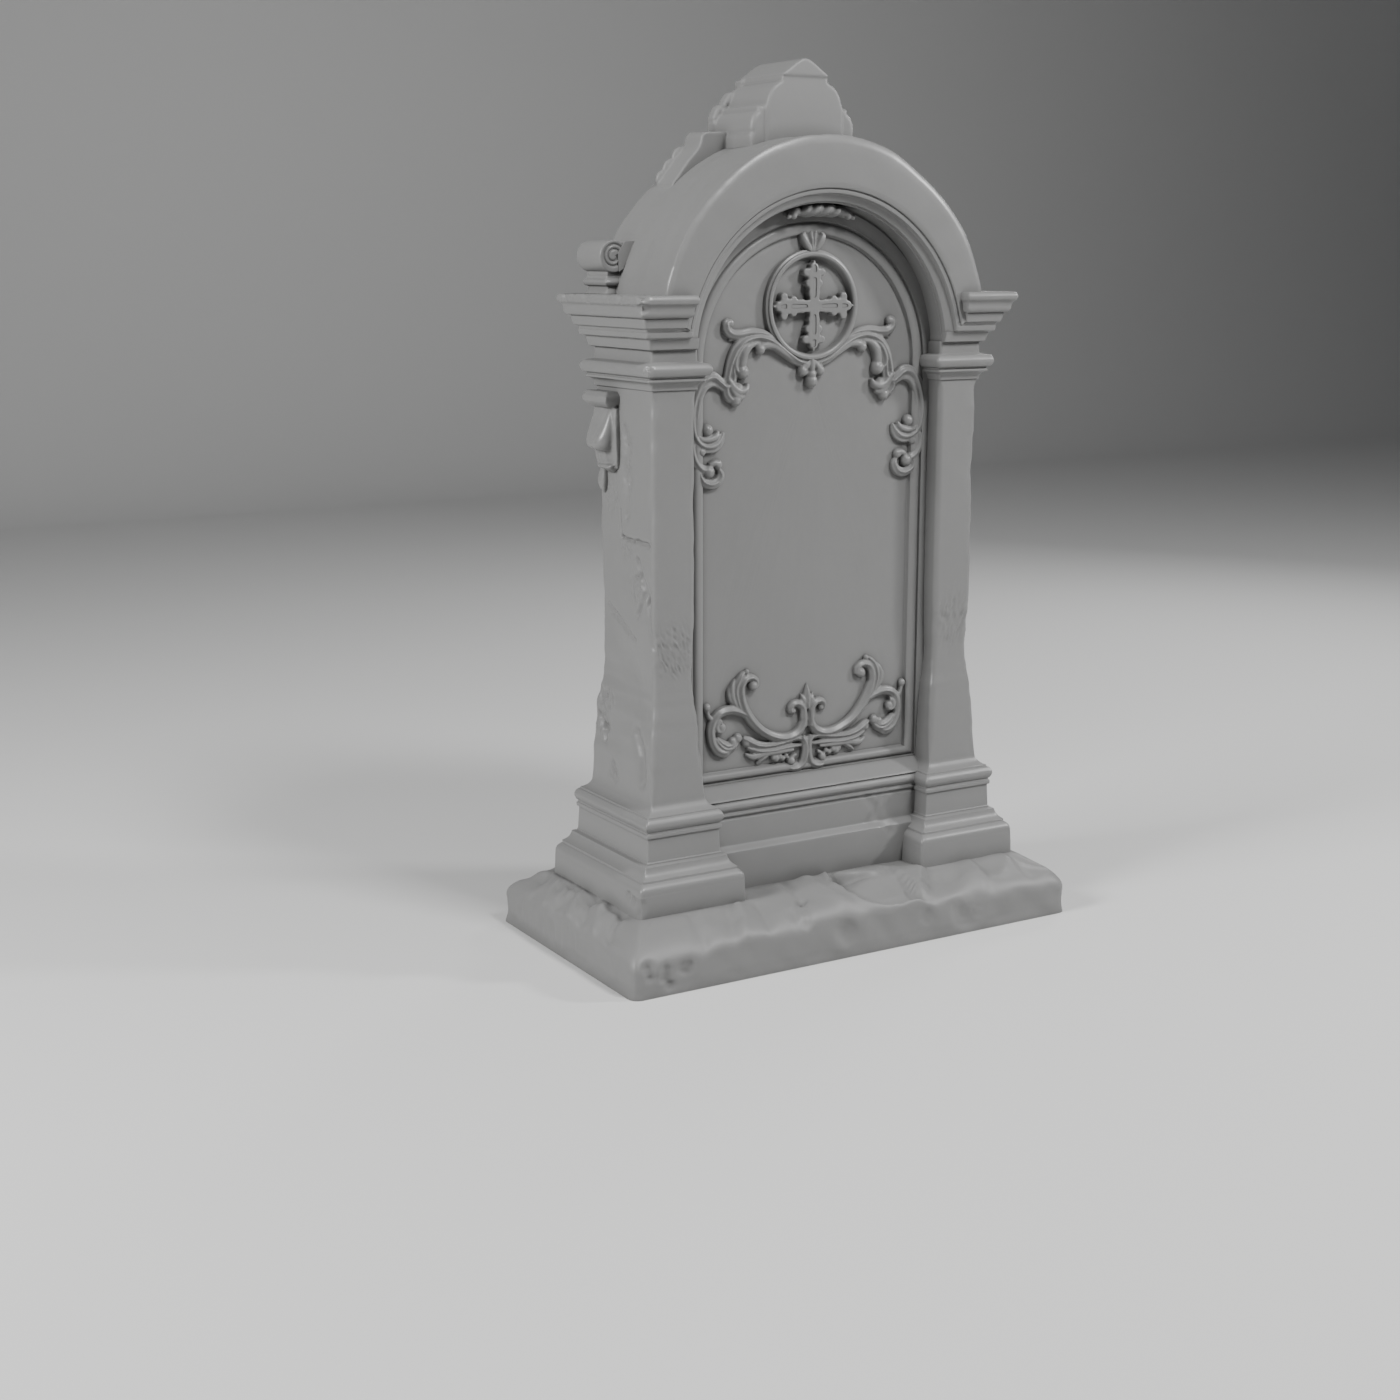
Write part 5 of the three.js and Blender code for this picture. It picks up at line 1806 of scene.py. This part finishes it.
class HEADSTONE_OT_stage(bpy.types.Operator):
    """Builds the pale floor, soft lights and camera"""

    bl_idname = "headstone.stage"
    bl_label = "Stage"

    def execute(self, context):
        bm = floor_mesh()
        mesh = bpy.data.meshes.new("floor")
        bm.to_mesh(mesh)
        bm.free()
        mesh.shade_smooth()
        floor = bpy.data.objects.new("floor", mesh)
        context.scene.collection.objects.link(floor)
        paper = bpy.data.materials.new("Pale floor")
        paper.use_nodes = True
        shader = paper.node_tree.nodes["Principled BSDF"]
        shader.inputs["Base Color"].default_value = PAPER
        shader.inputs["Roughness"].default_value = 0.9
        mesh.materials.append(paper)
        for name, place, target, size, power in LAMPS:
            data = bpy.data.lights.new(name, "AREA")
            data.energy = power
            data.size = size
            lamp = bpy.data.objects.new(name, data)
            lamp.location = place
            lamp.rotation_euler = (Vector(target) - Vector(place)).to_track_quat("-Z", "Y").to_euler()
            context.scene.collection.objects.link(lamp)
        world = bpy.data.worlds.new("Studio")
        world.use_nodes = True
        sky = world.node_tree.nodes["Background"]
        sky.inputs["Color"].default_value = SKY
        sky.inputs["Strength"].default_value = SKY_STRENGTH
        context.scene.world = world
        lens = bpy.data.cameras.new("view")
        lens.lens = LENS
        lens.sensor_width = 36
        camera = bpy.data.objects.new("view", lens)
        camera.location = CAMERA_PLACE
        camera.rotation_euler = [math.radians(a) for a in CAMERA_TURN]
        context.scene.collection.objects.link(camera)
        context.scene.camera = camera
        return {"FINISHED"}


PIECES = (
    HEADSTONE_OT_slab, HEADSTONE_OT_pilasters, HEADSTONE_OT_entablature, HEADSTONE_OT_wall,
    HEADSTONE_OT_arch, HEADSTONE_OT_medallion, HEADSTONE_OT_scrollwork, HEADSTONE_OT_crown_leaf,
    HEADSTONE_OT_cornice_scrolls, HEADSTONE_OT_brackets, HEADSTONE_OT_crest, HEADSTONE_OT_stage,
)


class HEADSTONE_PT_panel(bpy.types.Panel):
    """Lists the settings and pieces of the headstone"""

    bl_idname = "HEADSTONE_PT_panel"
    bl_label = "Headstone"
    bl_space_type = "VIEW_3D"
    bl_region_type = "UI"
    bl_category = "Headstone"

    def draw(self, context):
        for settings in (context.scene.headstone_stone, context.scene.headstone_sizes):
            for key in settings.__annotations__:
                self.layout.prop(settings, key)
        for piece in PIECES:
            self.layout.operator(piece.bl_idname)


CLASSES = (HeadstoneStone, HeadstoneSizes, *PIECES, HEADSTONE_PT_panel)


def register():
    for cls in CLASSES:
        bpy.utils.register_class(cls)
    bpy.types.Scene.headstone_stone = PointerProperty(type=HeadstoneStone)
    bpy.types.Scene.headstone_sizes = PointerProperty(type=HeadstoneSizes)


def unregister():
    del bpy.types.Scene.headstone_sizes
    del bpy.types.Scene.headstone_stone
    for cls in reversed(CLASSES):
        bpy.utils.unregister_class(cls)


def main():
    register()
    for piece in PIECES:
        area, action = piece.bl_idname.split(".")
        getattr(getattr(bpy.ops, area), action)()


if __name__ == "__main__":
    main()
